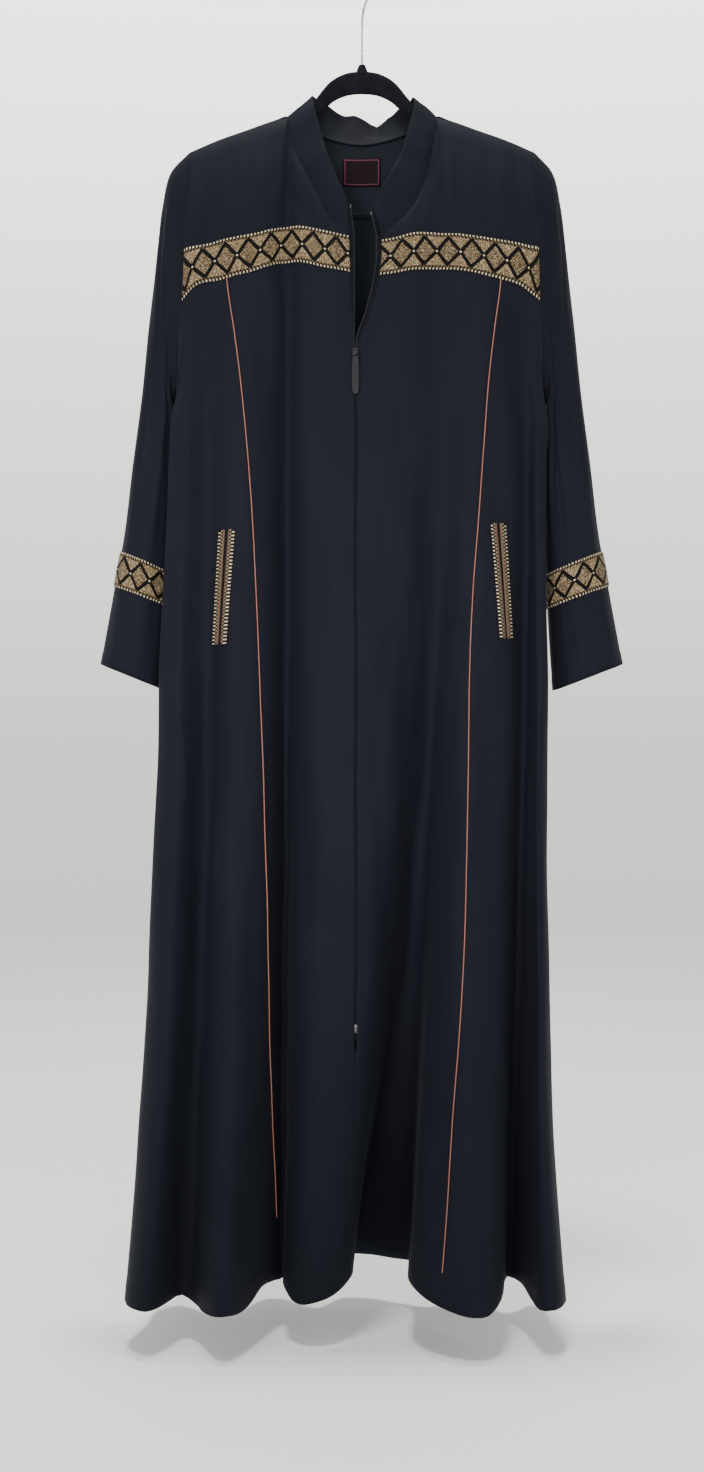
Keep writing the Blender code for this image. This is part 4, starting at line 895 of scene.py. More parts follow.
class Finish(Shading):
    # a material and the few calls that fill it
    names = {
        "colour": "Base Color",
        "roughness": "Roughness",
        "metallic": "Metallic",
        "sheen": "Sheen Weight",
        "sheenRoughness": "Sheen Roughness",
        "sheenTint": "Sheen Tint",
        "specular": "Specular IOR Level",
        "normal": "Normal",
    }

    def __init__(self, name, **values):
        self.material = bpy.data.materials.new(name)
        self.material.use_nodes = True
        super().__init__(self.material.node_tree)
        self.shader = self.tree.nodes["Principled BSDF"]
        self.set(**values)

    def set(self, **values):
        for key, value in values.items():
            value = (*value, 1) if isinstance(value, tuple) else value
            self.feed(self.shader.inputs[self.names[key]], value)
        return self.material

    def place(self):  # object coordinates in millimetres
        there = self.node("TexCoord", output=3)
        return self.node("VectorMath", {"operation": "SCALE"}, _0=there, Scale=1 / mm)

    def clothMap(self):  # u and v in millimetres
        u = self.node("SeparateXYZ", _0=self.node("UVMap", {"uv_map": "clothMap"}))
        return u, Sock(self, u.socket.node.outputs[1])

    def noise(self, vector, scale, detail=2.0, rough=0.5, stretch=None):
        if stretch:
            vector = self.node("VectorMath", {"operation": "MULTIPLY"}, _0=vector, _1=stretch)
        return self.node("TexNoise", Vector=vector, Scale=scale, Detail=detail, Roughness=rough)

    def mix(self, share, one, two):  # two colours
        one, two = ((*colour, 1) if isinstance(colour, tuple) else colour for colour in (one, two))
        return self.node("Mix", {"data_type": "RGBA"}, output=2, _0=share, _6=one, _7=two)

    def bump(self, height, strength, distance):
        return self.node("Bump", Height=height, Strength=strength, Distance=distance)


def srgb(red, green, blue):  # screen colour, 0 to 255, to linear
    return tuple(
        c / 12.92 if c <= 0.04045 else ((c + 0.055) / 1.055) ** 2.4
        for c in (red / 255, green / 255, blue / 255)
    )


crepeLook = {
    "dark": (0.0034, 0.0040, 0.0068),
    "light": (0.0060, 0.0071, 0.0114),
    "sheenTint": (0.62, 0.68, 0.86),
    "roughness": 0.62,
    "pebble": 1.35,  # size of the crinkled grain, as noise per millimetre
    "cloud": 0.021,  # slow change of tone down the cloth
}


def crepeFinish(name, tint=(1, 1, 1)):
    look = crepeLook
    made = Finish(name, specular=0.06, sheen=0.02, sheenRoughness=0.5, sheenTint=look["sheenTint"])
    at = made.place()
    grain = made.noise(at, look["pebble"], 3.0, 0.62)
    ribs = made.noise(at, 1.0, stretch=(1.9, 1.9, 0.55))
    cloud = made.noise(at, look["cloud"], 3.0, 0.6, stretch=(1.0, 1.0, 0.4))
    tone = grain * 0.45 + ribs * 0.25 + cloud * 0.3
    dark, light = (tuple(c * t for c, t in zip(look[end], tint)) for end in ("dark", "light"))
    return made.set(
        colour=made.mix(tone.ramp(0.3, 0.7), dark, light),
        roughness=look["roughness"] + 0.2 * grain,
        normal=made.bump(grain * 0.7 + ribs * 0.5, 0.42, 0.00035),
    )


braidLook = {
    "height": 46.0,
    "repeat": 28.0,  # from one lozenge to the next
    "reach": 17.0,  # from the middle to a lozenge's tip
    "line": 0.2,  # half of a lozenge's outline, as a share of its reach
    "dot": 1.15,
    "rail": (18.1, 19.2),  # both edges, from the band's middle
    "dashes": (20.2, 22.9),
    "dash": 4.2,
    "black": srgb(6, 5, 5),
    "brown": srgb(40, 29, 14),
    "gold": srgb(112, 95, 66),
    "rose": srgb(96, 78, 64),
    "pale": srgb(198, 184, 152),
}


def threads(u, v, size):  # over and under of weft and warp, 0 to 1
    return 0.5 + 0.5 * ((u * (2 * math.pi / size)).sin() * (v * (2 * math.pi / size)).sin())


def bandFinish(name, start):
    # the jacquard band: a row of lozenges between two dashed edges
    look = braidLook
    made = Finish(name, specular=0.07)
    u, v = made.clothMap()
    there = made.place()
    wander = made.noise(there, 0.12) - 0.5
    v = v + wander * 0.9
    u = u + wander * 1.1
    half = look["repeat"] / 2
    fromMiddle = (((u - start) / look["repeat"]).fract() - 0.5) * look["repeat"]
    acrossBand = (v - look["height"] / 2).abs()
    ring = fromMiddle.abs() / half + acrossBand / look["reach"]
    field = acrossBand < look["reach"] + 0.6
    weave = threads(u, v, 1.15)
    grain = made.noise(there, 0.55, 2.0, 0.7)
    line = ((ring - 1).abs() < look["line"]) * field
    inside = (ring < 1 - look["line"]) * field
    corner = (ring > 1 + look["line"]) * field
    toCrossing = half - fromMiddle.abs()
    away = (toCrossing * toCrossing + acrossBand * acrossBand).root()
    dot = (away < look["dot"]) * field
    rail = acrossBand.between(*look["rail"]) * ((u / look["dash"]).fract() > 0.5)
    dashes = acrossBand.between(*look["dashes"]) * ((u / look["dash"] + 0.3).fract() > 0.56)
    flowers = (threads(u, v, 3.1) * 0.6 + grain).ramp(0.7, 0.86)
    leaves = (threads(u + v, u - v, 4.4) * 0.45 + grain).ramp(0.54, 0.74)
    goldShare = inside * (0.05 + 0.95 * flowers) + corner * (0.2 + 0.8 * leaves) + rail
    sparkle = corner * leaves * 0.85 + inside * flowers * 0.7
    sparkle = sparkle * (grain * 0.9 + weave * 0.3).ramp(0.6, 0.8)
    bright = dot + dashes * (0.7 + 0.3 * weave) + sparkle
    wear = made.noise(there, 0.35, 3.0, 0.6)
    colour = made.mix(goldShare, look["black"], look["gold"])
    colour = made.mix(bright * (1 - line * (1 - dot)), colour, look["pale"])
    colour = made.mix(wear.ramp(0.35, 0.75) * 0.25, colour, look["brown"])
    return made.set(
        colour=made.mix(line * (1 - dot), colour, look["black"]),
        roughness=0.66 - 0.2 * bright,
        metallic=(goldShare + bright).ramp(0.2, 1.4) * 0.25,
        normal=made.bump(goldShare * 0.5 + bright * 0.6 + weave * 0.35 - line * 0.4, 0.75, 0.0006),
    )


def stripFinish(name):
    # braid along a pocket's mouth: two rows of dots on its outer edge, a plain fine weave inside
    look = braidLook
    made = Finish(name, specular=0.07)
    u, v = made.clothMap()
    grain = made.noise(made.place(), 0.9, 2.0, 0.65)
    wear = made.noise(made.place(), 0.4, 3.0, 0.6)
    weave = threads(u, v, 1.0)
    outer = (u > 6.0) * ((v / look["dash"]).fract() > 0.6)
    second = u.between(3.5, 5.0) * ((v / look["dash"] + 0.5).fract() > 0.5)
    plain = u < 3.1
    colour = made.mix(plain * (0.3 + 0.5 * weave + 0.4 * grain), look["black"], look["rose"])
    colour = made.mix(second * (0.45 + 0.55 * grain), colour, look["gold"])
    colour = made.mix((second * 0.35 + outer * 0.85) * (0.6 + 0.4 * weave), colour, look["pale"])
    return made.set(
        colour=made.mix(wear.ramp(0.4, 0.8) * 0.25, colour, look["brown"]),
        roughness=0.6 - 0.12 * weave,
        metallic=plain * 0.15,
        normal=made.bump(second * 0.6 + outer * 0.8 + weave * 0.3, 0.7, 0.0006),
    )


def satinFinish(name, dark, light):
    # a narrow bias tube of satin, ribbed across its length, with a painted highlight along its
    # front and painted shade down its sides
    made = Finish(name, specular=0.14)
    u, v = made.clothMap()
    ribs = ((v + u * 0.6) * (2 * math.pi / 0.9)).sin() * 0.5 + 0.5
    cloud = made.noise(made.place(), 0.25, 3.0, 0.6)
    # painted highlight: lighter where u is small, on the side that faces the front; painted shade:
    # darker round the sides
    paintedFrontHighlight = 1 - (u + cloud * 0.2).ramp(0.4, 0.9)
    return made.set(
        colour=made.mix(paintedFrontHighlight * (0.6 + cloud * 0.3 + ribs * 0.25), dark, light),
        roughness=0.36 + 0.16 * cloud,
        metallic=cloud * 0.1,
        normal=made.bump(ribs + cloud * 0.6, 0.5, 0.0003),
    )


def metalFinish(name, dark, light, roughness, metallic, specular=0.5):
    made = Finish(name, metallic=metallic, specular=specular)
    brushed = made.noise(made.place(), 1.1, 3.0, 0.6, stretch=(3.0, 3.0, 0.4))
    worn = made.noise(made.place(), 0.35, 3.0, 0.6)
    return made.set(
        colour=made.mix(worn.ramp(0.35, 0.7), dark, light),
        roughness=roughness - 0.08 + 0.16 * brushed,
        normal=made.bump(brushed, 0.15, 0.0002),
    )


def flockFinish(name, dark, light):
    made = Finish(name, sheen=0.03, sheenRoughness=0.6, specular=0.04)
    fuzz = made.noise(made.place(), 3.2, 2.0, 0.7)
    brushed = made.noise(made.place(), 0.06, 3.0, 0.6)
    return made.set(
        colour=made.mix((fuzz * 0.6 + brushed * 0.5).ramp(0.35, 0.75), dark, light),
        roughness=0.86 + 0.1 * fuzz,
        normal=made.bump(fuzz, 0.7, 0.0005),
    )


def tapeFinish(name, dark, light):
    # woven herringbone tape
    made = Finish(name, specular=0.06, sheen=0.01)
    u, v = made.clothMap()
    slant = ((v + (u - 3.0).abs() * 1.2) / 1.1).fract()
    grain = made.noise(made.place(), 2.0, 2.0, 0.6)
    return made.set(
        colour=made.mix(slant * 0.5 + grain * 0.5, dark, light),
        roughness=0.66 + 0.14 * grain,
        normal=made.bump(slant * 0.6 + grain * 0.6, 0.5, 0.0003),
    )


def threadFinish(name, dark, light):
    made = Finish(name, specular=0.12, sheen=0.03)
    ply = made.noise(made.place(), 2.4)
    return made.set(
        colour=made.mix(ply, dark, light),
        roughness=0.5 + 0.2 * ply,
        normal=made.bump(ply, 0.5, 0.0002),
    )


label = {
    "width": 46.0,
    "height": 34.0,
    "z": -251.0,
    "lift": 2.4,
    "thick": 0.5,
    "above": -300.0,  # it lies on the back's cloth above this, between these columns of the cut
    "columns": (8, 20),
    "border": (1.6, 3.0),
    "ground": (srgb(15, 8, 12), srgb(31, 16, 23)),
    "rim": srgb(102, 50, 70),
}


def labelFinish(name):
    # bare woven satin with a coloured border near its edges
    made = Finish(name, specular=0.08, sheen=0.01)
    u, v = made.clothMap()
    edge = u.least(label["width"] - u).least(v).least(label["height"] - v)
    border = edge.between(*label["border"])
    weave = threads(u, v, 0.8)
    return made.set(
        colour=made.mix(border * 0.9, made.mix(weave, *label["ground"]), label["rim"]),
        roughness=0.42 + 0.2 * weave,
        normal=made.bump(weave + border * 0.4, 0.5, 0.0003),
    )


crepe = crepeFinish("crepe")
# the same crepe painted over twice as light: a painted lit copy for the back's shaded inner face
litInsideCrepe = crepeFinish("crepe facing", (2.3, 2.5, 2.1))
lipCrepe = crepeFinish("pocket lip crepe", (1.1, 0.8, 0.45))
chestBands = {
    "right": bandFinish("woven band right", 2.0),
    "left": bandFinish("woven band left", 11.0),
}
sleeveBand = bandFinish("woven sleeve band", 5.0)
stripBraid = stripFinish("pocket braid")
copper = satinFinish("copper piping", srgb(56, 18, 15), srgb(134, 95, 82))
steel = metalFinish("steel wire", srgb(120, 120, 122), srgb(205, 205, 208), 0.26, 1.0)
silver = metalFinish("zip silver", srgb(54, 55, 57), srgb(96, 97, 99), 0.36, 0.9)
blackMetal = metalFinish("black enamel", srgb(12, 13, 16), srgb(26, 27, 31), 0.3, 0.0, 0.16)
flock = flockFinish("black flock", srgb(8, 9, 13), srgb(20, 22, 29))
zipTape = tapeFinish("zip tape", srgb(7, 8, 12), srgb(15, 17, 24))
blackThread = threadFinish("black thread", srgb(9, 10, 13), srgb(20, 22, 29))
coilThread = threadFinish("zip coil", srgb(13, 14, 18), srgb(36, 38, 45))
labelCloth = labelFinish("woven label")
print("materials made")


def dress(obj, material, node=None, body="garment"):
    # each piece follows its body, takes its finish and stands for its CAD solid
    if not obj.data.materials:
        obj.data.materials.append(material)
    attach(obj, body)
    if node:
        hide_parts(node)
    return obj


def marksOf(which):
    grid, rowMarks, columnMarks = fine[which]
    return grid, rowMarks, columnMarks, -halves[which]["sign"]


def hemmed(grid, sign, closed=False, turn=cloth["hemTurn"]):
    # the turned-up hem is a little thicker than the cloth
    up = pathLength(grid[::-1], 0)[::-1]
    step = 1 - smoothStep(up, turn - 3, turn + 1)
    return grid + normalsOf(grid, sign, closed) * (cloth["hemThick"] * step)[..., None]


# the fronts' edges stand a little apart over the closed zip and gape just under its stop
slit = {
    "inside": 2.3,
    "top": -520.0,
    "stop": -1280.0,
    "gape": 38.0,
    "apart": 0.7,
    "open": 2.6,
    "deep": 2.6,
}


def slitOf(z):  # how far inside, how far apart and how deep the edge turns in
    closed = smoothStep(slit["top"] - z, 0, 20)
    under = slit["stop"] - z
    gape = smoothStep(under, -9, 1) * (1 - smoothStep(under, 2, slit["gape"]))
    zipped = closed * (1 - smoothStep(under, 4, slit["gape"]))
    apart = slit["apart"] * zipped + (slit["open"] - slit["apart"]) * gape
    lap = -apart + cloth["seamLap"] * (1 - zipped)
    sunk = cloth["seamSunk"] + (slit["deep"] - cloth["seamSunk"]) * zipped
    return slit["inside"], lap[:, None], sunk[:, None]


def panel(node, *shape, **options):
    return dress(clothPiece(node + "_cloth", *shape, **options), crepe, node)


threeEdges = ("top", "start", "end")
for which in halves:
    grid, rowMarks, columnMarks, sign = marksOf(which)
    grid = hemmed(grid, sign)
    yoke, seam = rowMarks[cut["yokeRow"]], columnMarks[halves[which]["side"]]
    panel(f"yoke_{which}", grid[: yoke + 1], sign, ("top", "bottom", "start"), sunk=0.35)
    panel(f"front_side_{which}", grid[yoke:, : seam + 1], sign, threeEdges)
    panel(f"front_centre_{which}", grid[yoke:, seam:], sign, threeEdges, slit=slitOf)
backCloth = panel("back_panel", hemmed(fineBack[0], -1), -1, threeEdges)
backCloth.data.materials.append(litInsideCrepe)  # on its inner face, seen in the neck and under the hem: the same crepe painted lighter, painted light in place of the shade there
inner = outerFaces[backCloth.name]
for face in backCloth.data.polygons[inner : 2 * inner]:
    face.material_index = 1
for which in halves:
    grid, rowMarks, columnMarks = fineSleeves[which]
    sign = -halves[which]["sign"]
    cuff = rowMarks[sleeve["cuffRow"]]
    grid = hemmed(grid, sign, True, cloth["cuffTurn"])
    panel(f"sleeve_{which}", grid[: cuff + 1], sign, ("top", "bottom"), closed=True)
    panel(f"cuff_{which}", grid[cuff:], sign, ("top",), closed=True)
fineCollar = refined(collarForm, row=2.5, column=4.0)[0]
collarUp = pathLength(fineCollar, 0)
lift = 0.7 * ripple(pathLength(fineCollar, 1) * 1.3, collarUp * 3, 3) * smoothStep(collarUp, 1, 8)
fineCollar = fineCollar + normalsOf(fineCollar, 1) * lift[..., None]
rimX, rimLift = np.array(collar["limpRim"], float).T
limp = np.interp(fineCollar[..., 0], rimX, rimLift)
limp = limp * smoothStep(fineCollar[..., 1], *collar["limpDeep"])
fineCollar[..., 2] += limp * smoothStep(collarUp, *collar["limpUp"])
tuckDown, tuckIn = collar["tuck"]
tucked = fineCollar[:1] - unit(fineCollar[1:2] - fineCollar[:1]) * tuckDown
tucked = tucked - normalsOf(fineCollar, 1)[:1] * tuckIn
collarCloth = np.concatenate([tucked, fineCollar])
panel("collar", collarCloth, 1, ("bottom", "start", "end"), thick=1.6)
print("cloth panels made")

trim = {"lift": 1.5, "thick": 0.9, "sunk": 0.75, "row": 3.6, "column": 4.0}


def trimPiece(node, grid, sign, material, edges, closed=False):
    # woven trim lies on the cloth with its edges turned down
    raised = grid + normalsOf(grid, sign, closed) * trim["lift"]
    options = {"thick": trim["thick"], "sunk": trim["sunk"], "height": braidLook["height"]}
    obj = clothPiece(node + "_braid", raised, sign, edges, closed, **options)
    return dress(obj, material, node)


for which in halves:
    grid, rowMarks, columnMarks, sign = marksOf(which)
    top, bottom = rowMarks[cut["bandTopRow"]], rowMarks[cut["bandBottomRow"]]
    strip = grid[top : bottom + 1, columnMarks[1] :][:, ::-1]
    strip = refined(strip, row=trim["row"], column=trim["column"])[0]
    edges = ("top", "bottom", "start", "end")
    trimPiece(f"chest_band_{which}", strip, -sign, chestBands[which], edges)
    grid, rowMarks, columnMarks = fineSleeves[which]
    strip = grid[rowMarks[sleeve["bandRow"]] : rowMarks[sleeve["cuffRow"] + 1] + 1]
    trimPiece(f"sleeve_band_{which}", strip, sign, sleeveBand, ("top", "bottom"), closed=True)

pockets = {
    # z at the top and bottom, then x of the near and far edge at the top and at the bottom
    "pocket_trim_right_side": (-697.6, -831.9, (-160.2, -168.2), (-168.5, -176.2)),
    "pocket_trim_right_front": (-697.6, -831.9, (-156.4, -148.4), (-165.8, -158.0)),
    "pocket_trim_left_front": (-689.7, -824.4, (157.6, 149.8), (168.3, 160.6)),
    "pocket_trim_left_side": (-689.7, -824.4, (160.6, 168.4), (169.8, 177.4)),
    "pocket_lips_right": (-698.6, -830.9, (-160.0, -156.6), (-168.85, -165.45)),
    "pocket_lips_left": (-690.7, -823.4, (157.9, 160.3), (167.85, 170.25)),
}
# across a strip, 0 to 1, and how high it stands off the cloth
crowns = {
    "trim": ((0, 1.0), (0.08, 1.7), (0.3, 1.95), (0.62, 1.95), (0.7, 1.75), (0.92, 1.85), (1, 1.1)),
    "lips": ((0, 0.5), (0.18, 1.15), (0.4, 0.8), (0.5, 0.25), (0.6, 0.8), (0.82, 1.15), (1, 0.5)),
}


class Surface:
    # cloth as depth over x and z
    def __init__(self, grid):
        self.columns = [grid[:, c] for c in range(grid.shape[1])]

    def depth(self, x, z):
        xs = np.array([np.interp(-z, -line[:, 2], line[:, 0]) for line in self.columns])
        ys = np.array([np.interp(-z, -line[:, 2], line[:, 1]) for line in self.columns])
        order = np.argsort(xs)
        return float(np.interp(x, xs[order], ys[order]))

    def at(self, x, z, lift):
        slopeX = (self.depth(x + 2, z) - self.depth(x - 2, z)) / 4
        slopeZ = (self.depth(x, z + 2) - self.depth(x, z - 2)) / 4
        out = np.array([slopeX, -1.0, slopeZ])
        return np.array([x, self.depth(x, z), z]) + out / np.linalg.norm(out) * lift


def laidOn(surface, topZ, bottomZ, topEdges, bottomEdges, rows, crown):
    # rows of points across a strip that lies on the cloth
    made = []
    for share in np.linspace(0, 1, rows):
        z = topZ + (bottomZ - topZ) * share
        near, far = (a + (b - a) * share for a, b in zip(topEdges, bottomEdges))
        made.append([surface.at(near + (far - near) * part, z, lift) for part, lift in crown])
    return np.array(made)


for name, (topZ, bottomZ, *edges) in pockets.items():
    grid = fine["right" if "right" in name else "left"][0]
    around = (grid[:, 0, 2] < topZ + 60) & (grid[:, 0, 2] > bottomZ - 60)
    isTrim = "trim" in name
    crown = crowns["trim" if isTrim else "lips"]
    rows = laidOn(Surface(grid[around]), topZ, bottomZ, *edges, 28 if isTrim else 30, crown)
    sign = 1 if rows[0, -1, 0] > rows[0, 0, 0] else -1
    if isTrim:
        obj = clothPiece(name + "_braid", rows, sign, (), thick=0.7)
        dress(obj, stripBraid, name)
    else:
        dress(clothPiece(name, rows, sign, (), thick=0.5), lipCrepe)
print("bands and pocket braid made")


def ringFaces(rings, sides, first=0, closed=False):
    # faces between one ring of points and the next, and over both ends unless they close up
    faces = []
    for i in range(rings if closed else rings - 1):
        here, there = first + i * sides, first + (i + 1) % rings * sides
        for k in range(sides):
            after = (k + 1) % sides
            faces.append((here + k, here + after, there + after, there + k))
    if not closed:
        faces.append(tuple(range(first, first + sides))[::-1])
        faces.append(tuple(range(first + (rings - 1) * sides, first + rings * sides)))
    return faces


def circle(sides):
    return 2 * math.pi * np.arange(sides) / sides


def fixNormals(obj):
    made = bmesh.new()
    made.from_mesh(obj.data)
    bmesh.ops.recalc_face_normals(made, faces=made.faces)
    if made.calc_volume(signed=True) < 0:
        bmesh.ops.reverse_faces(made, faces=made.faces)
    made.to_mesh(obj.data)
    made.free()
    return obj


def tube(name, path, radius, sides, cap=2):
    # a tube along a line, with rounded ends; radius may change along it
    path = np.asarray(path, float)
    radius = np.broadcast_to(np.asarray(radius, float), (len(path),))
    along = unit(np.gradient(path, axis=0))
    reach = reachOf(path)
    ends = [(math.sin(a), math.cos(a)) for a in np.linspace(0, math.pi / 2 * 0.98, cap + 1)[1:]]
    stations = [(0, -push, shrink) for push, shrink in ends[::-1]]
    stations += [(i, 0.0, 1.0) for i in range(len(path))]
    stations += [(len(path) - 1, push, shrink) for push, shrink in ends]
    turn = circle(sides)
    up = np.array([0.0, -1.0, 0.0])
    rings, uv = [], []
    for i, push, shrink in stations:
        side = unit(np.cross(along[i], up))
        up = unit(np.cross(side, along[i]))
        centre = path[i] + along[i] * push * radius[i]
        hoop = np.outer(np.cos(turn), up) + np.outer(np.sin(turn), side)
        rings.append(centre + radius[i] * shrink * hoop)
        uv += [(min(a, 2 * math.pi - a) * radius[i], reach[i] + push * radius[i]) for a in turn]
    return fixNormals(meshFrom(name, np.vstack(rings), ringFaces(len(rings), sides), uv))


piping = {"radius": 1.2, "lift": 0.7, "sides": 10, "right": -1519.0, "left": -1556.0}
for which in halves:
    grid, rowMarks, columnMarks, sign = marksOf(which)
    seam = columnMarks[halves[which]["side"]]
    rows = range(rowMarks[cut["bandBottomRow"]], len(grid))
    keep = [r for r in rows if grid[r, seam, 2] > piping[which]]
    line = grid[keep, seam] + normalsOf(grid, sign)[keep, seam] * piping["lift"]
    radius = piping["radius"] + 0.06 * np.sin(np.arange(len(line)) * 0.9)
    obj = tube(f"piping_{which}_satin", line, radius, piping["sides"])
    dress(obj, copper, f"piping_{which}")
print("piping made")

# the zip: two tapes behind the fronts' edges, coils, stops, slider and pull tab
zipper = {
    "x": -8.0,
    "sliderZ": -492.0,
    "stopZ": -1280.0,
    "topStops": {"right": -313.6, "left": -323.0},
    "shown": 6.0,  # how far an open tape shows past the cloth
    "tape": 9.0,  # how far it goes back behind the cloth
    "fold": 1.5,
    "behind": 1.4,
    "behindCollar": 2.3,
    "pitch": 1.5,
    "coil": 0.62,
    "coilStep": 0.5,
    "pinBefore": 6.6,  # the tab's pin in front of the fronts' edge
}


def edgeDepth(grid, z):  # y of a front's edge at a height
    line = grid[:, -1]
    return float(np.interp(-z, -line[:, 2], line[:, 1]))


def smoothPath(points, step):
    points = np.asarray(points, float)
    points = points[np.r_[True, np.diff(reachOf(points)) > 1e-4]]
    count = int(reachOf(points)[-1] / step) + 1
    return alongPoints(points, np.linspace(0, 1, max(2, count)))


zipPaths = {}
collarNormals = normalsOf(fineCollar, 1)
for which in halves:
    grid, rowMarks, columnMarks, sign = marksOf(which)
    normals = normalsOf(grid, sign)
    end, inner = (0, 3) if which == "right" else (-1, -4)
    joined = [
        (fineCollar[r, end], fineCollar[r, inner], collarNormals[r, end], zipper["behindCollar"])
        for r in range(len(fineCollar) - 1, -1, -1)
    ]
    joined += [
        (grid[r, -1], grid[r, -4], normals[r, -1], zipper["behind"])
        for r in range(1, len(grid))
        if grid[r, -1, 2] > zipper["stopZ"] - 20
    ]
    rows = []
    for edge, beside, normal, deep in joined:
        across = unit(edge - beside)
        shown = zipper["shown"]
        if deep == zipper["behind"]:  # the closed zip shows none of its tape
            shown = min(shown, max(0.0, abs(edge[0] - zipper["x"]) - zipper["fold"]))
        far = edge - across * zipper["tape"] - normal * (deep + 0.2)
        near = edge - across * 0.6 - normal * deep
        tip = edge + across * (shown if shown else -0.35) - normal * (deep - 0.15)
        middle = 0.5 * (near + tip) - normal * 0.1
        rows.append([far, 0.5 * (far + near), near, middle, tip])
    rows = np.array(rows)
    free = rows[:, -1].copy()
    rows[1:-1, -1] = 0.25 * free[:-2] + 0.5 * free[1:-1] + 0.25 * free[2:]
    obj = clothPiece(f"zip_tape_{which}_woven", rows, sign, (), thick=0.6)
    dress(obj, zipTape, f"zip_tape_{which}")
    path = [tip for tip in rows[:, -1] if tip[2] > zipper["sliderZ"] + 4]
    path = smoothPath(path, zipper["coilStep"])
    zipPaths[which] = path
    turns = np.arange(len(path)) * zipper["coilStep"] / zipper["pitch"]
    bead = zipper["coil"] * (1 + 0.32 * np.sin(2 * math.pi * turns))
    obj = tube(f"zip_coil_{which}", path - np.array([0, 0.45, 0]), bead, 8)
    dress(obj, coilThread)


def addBoxes(made, origin, boxes):  # size, place from the origin, rounding and taper of each
    for size, place, rounding, taper in boxes:
        corners = bmesh.ops.create_cube(made, size=1.0)["verts"]
        for corner in corners:
            x, y, z = corner.co
            x = x * (1 - taper * (0.5 - z))
            corner.co = Vector(np.array([x, y, z]) * size + place + origin)
        edges = list(dict.fromkeys(edge for corner in corners for edge in corner.link_edges))
        bmesh.ops.bevel(
            made, geom=edges, offset=rounding, segments=3, profile=0.5, affect="EDGES"
        )


def addRings(made, rings, closed=False):
    points = [made.verts.new(point) for ring in rings for point in ring]
    for face in ringFaces(len(rings), len(rings[0]), closed=closed):
        made.faces.new([points[i] for i in face])


def hardMesh(made, name):
    bmesh.ops.recalc_face_normals(made, faces=made.faces)
    # a bevel lists its faces in any order, so points and faces are put in order of place
    points = sorted(made.verts, key=lambda vert: [round(at, 4) for at in vert.co])
    numbers = {vert: i for i, vert in enumerate(points)}
    faces = []
    for face in made.faces:
        turn = [numbers[vert] for vert in face.verts]
        first = turn.index(min(turn))
        faces.append(turn[first:] + turn[:first])
    mesh = bpy.data.meshes.new(name)
    mesh.from_pydata([vert.co * mm for vert in points], [], sorted(faces))
    made.free()
    mesh.shade_smooth()
    mesh.set_sharp_from_angle(angle=math.radians(48))
    return linked(bpy.data.objects.new(name, mesh))


for which, z in zipper["topStops"].items():
    path = zipPaths[which]
    spot = path[np.argmin(np.abs(path[:, 2] - z))]
    made = bmesh.new()
    addBoxes(made, spot, [((1.8, 2.2, 3.8), (0, -0.5, 0), 0.6, 0)])
    dress(hardMesh(made, f"zip_top_stop_{which}"), silver)

slider = {
    # its two plates and the bridge's cheeks, from the pin
    "boxes": (
        ((8.5, 1.3, 11.0), (0, 3.45, 1.5), 0.55, 0.24),
        ((6.2, 1.6, 11.0), (0, 4.9, 1.5), 0.6, 0.3),
        ((1.3, 4.2, 5.4), (-3.15, 1.3, 0.2), 0.45, 0),
        ((1.3, 4.2, 5.4), (3.15, 1.3, 0.2), 0.45, 0),
    ),
    "pin": 0.8,
    "pinLength": 6.3,
}
pinY = edgeDepth(fronts["right"], zipper["sliderZ"]) - zipper["pinBefore"]
pin = np.array([zipper["x"], pinY, zipper["sliderZ"]])
made = bmesh.new()
addBoxes(made, pin, slider["boxes"])
turned = bmesh.ops.create_cone(
    made,
    cap_ends=True,
    segments=20,
    radius1=slider["pin"],
    radius2=slider["pin"],
    depth=slider["pinLength"],
)["verts"]
for vert in turned:
    x, y, z = vert.co
    vert.co = Vector(pin + (z, x, y))
dress(hardMesh(made, "zip_slider_body"), blackMetal, "zip_slider")

# the pull tab: an eye round the pin, a waist and a long blade with a raised rim
pullTab = {
    "half": 3.9,
    "end": -47.6,
    "middle": -25.0,
    # x and z down one side
    "side": (
        (1.9, 1.2), (2.1, -1.5), (2.1, -3.0), (2.6, -4.6), (3.7, -6.4), (3.65, -9.0),
        (3.9, -14.0), (3.9, -40.0), (3.55, -44.2), (2.4, -46.6), (0.7, -47.6),
    ),
    # how wide, of the whole outline, and how far forward: the sunk face, its rim and the edge
    "layers": ((0.1, -0.42), (0.83, -0.42), (0.86, -0.75), (0.985, -0.75), (1.0, -0.35)),
    # x and radius round the eye
    "eye": ((-2.1, 1.4), (-2.1, 2.5), (-1.8, 2.7), (1.8, 2.7), (2.1, 2.5), (2.1, 1.4)),
}
outline = smoothPath([(x, 0, z) for x, z in pullTab["side"]], 0.7)[:, [0, 2]]
outline = np.vstack([outline, [(0, pullTab["end"])], (outline * (-1, 1))[::-1]])
rings = []
for wide, y in pullTab["layers"] + tuple((wide, -y) for wide, y in pullTab["layers"][::-1]):
    inset = (1 - wide) * pullTab["half"]
    side = abs(outline[:, 0])
    x = np.copysign(np.maximum(side - inset, side * 0.05), outline[:, 0])
    z = pullTab["middle"] + (outline[:, 1] - pullTab["middle"]) * (1 - inset / 26)
    rings.append(pin + np.stack([x, np.full(len(x), y), z], axis=1))
made = bmesh.new()
addRings(made, rings)
rings = []
for a in circle(28):
    eye = [(x, radius * math.cos(a), radius * math.sin(a)) for x, radius in pullTab["eye"]]
    rings.append(pin + np.array(eye))
addRings(made, rings, closed=True)
tab = hardMesh(made, "zip_pull_tab_blade")
dress(tab, blackMetal, "zip_pull_tab", body="zip_pull")

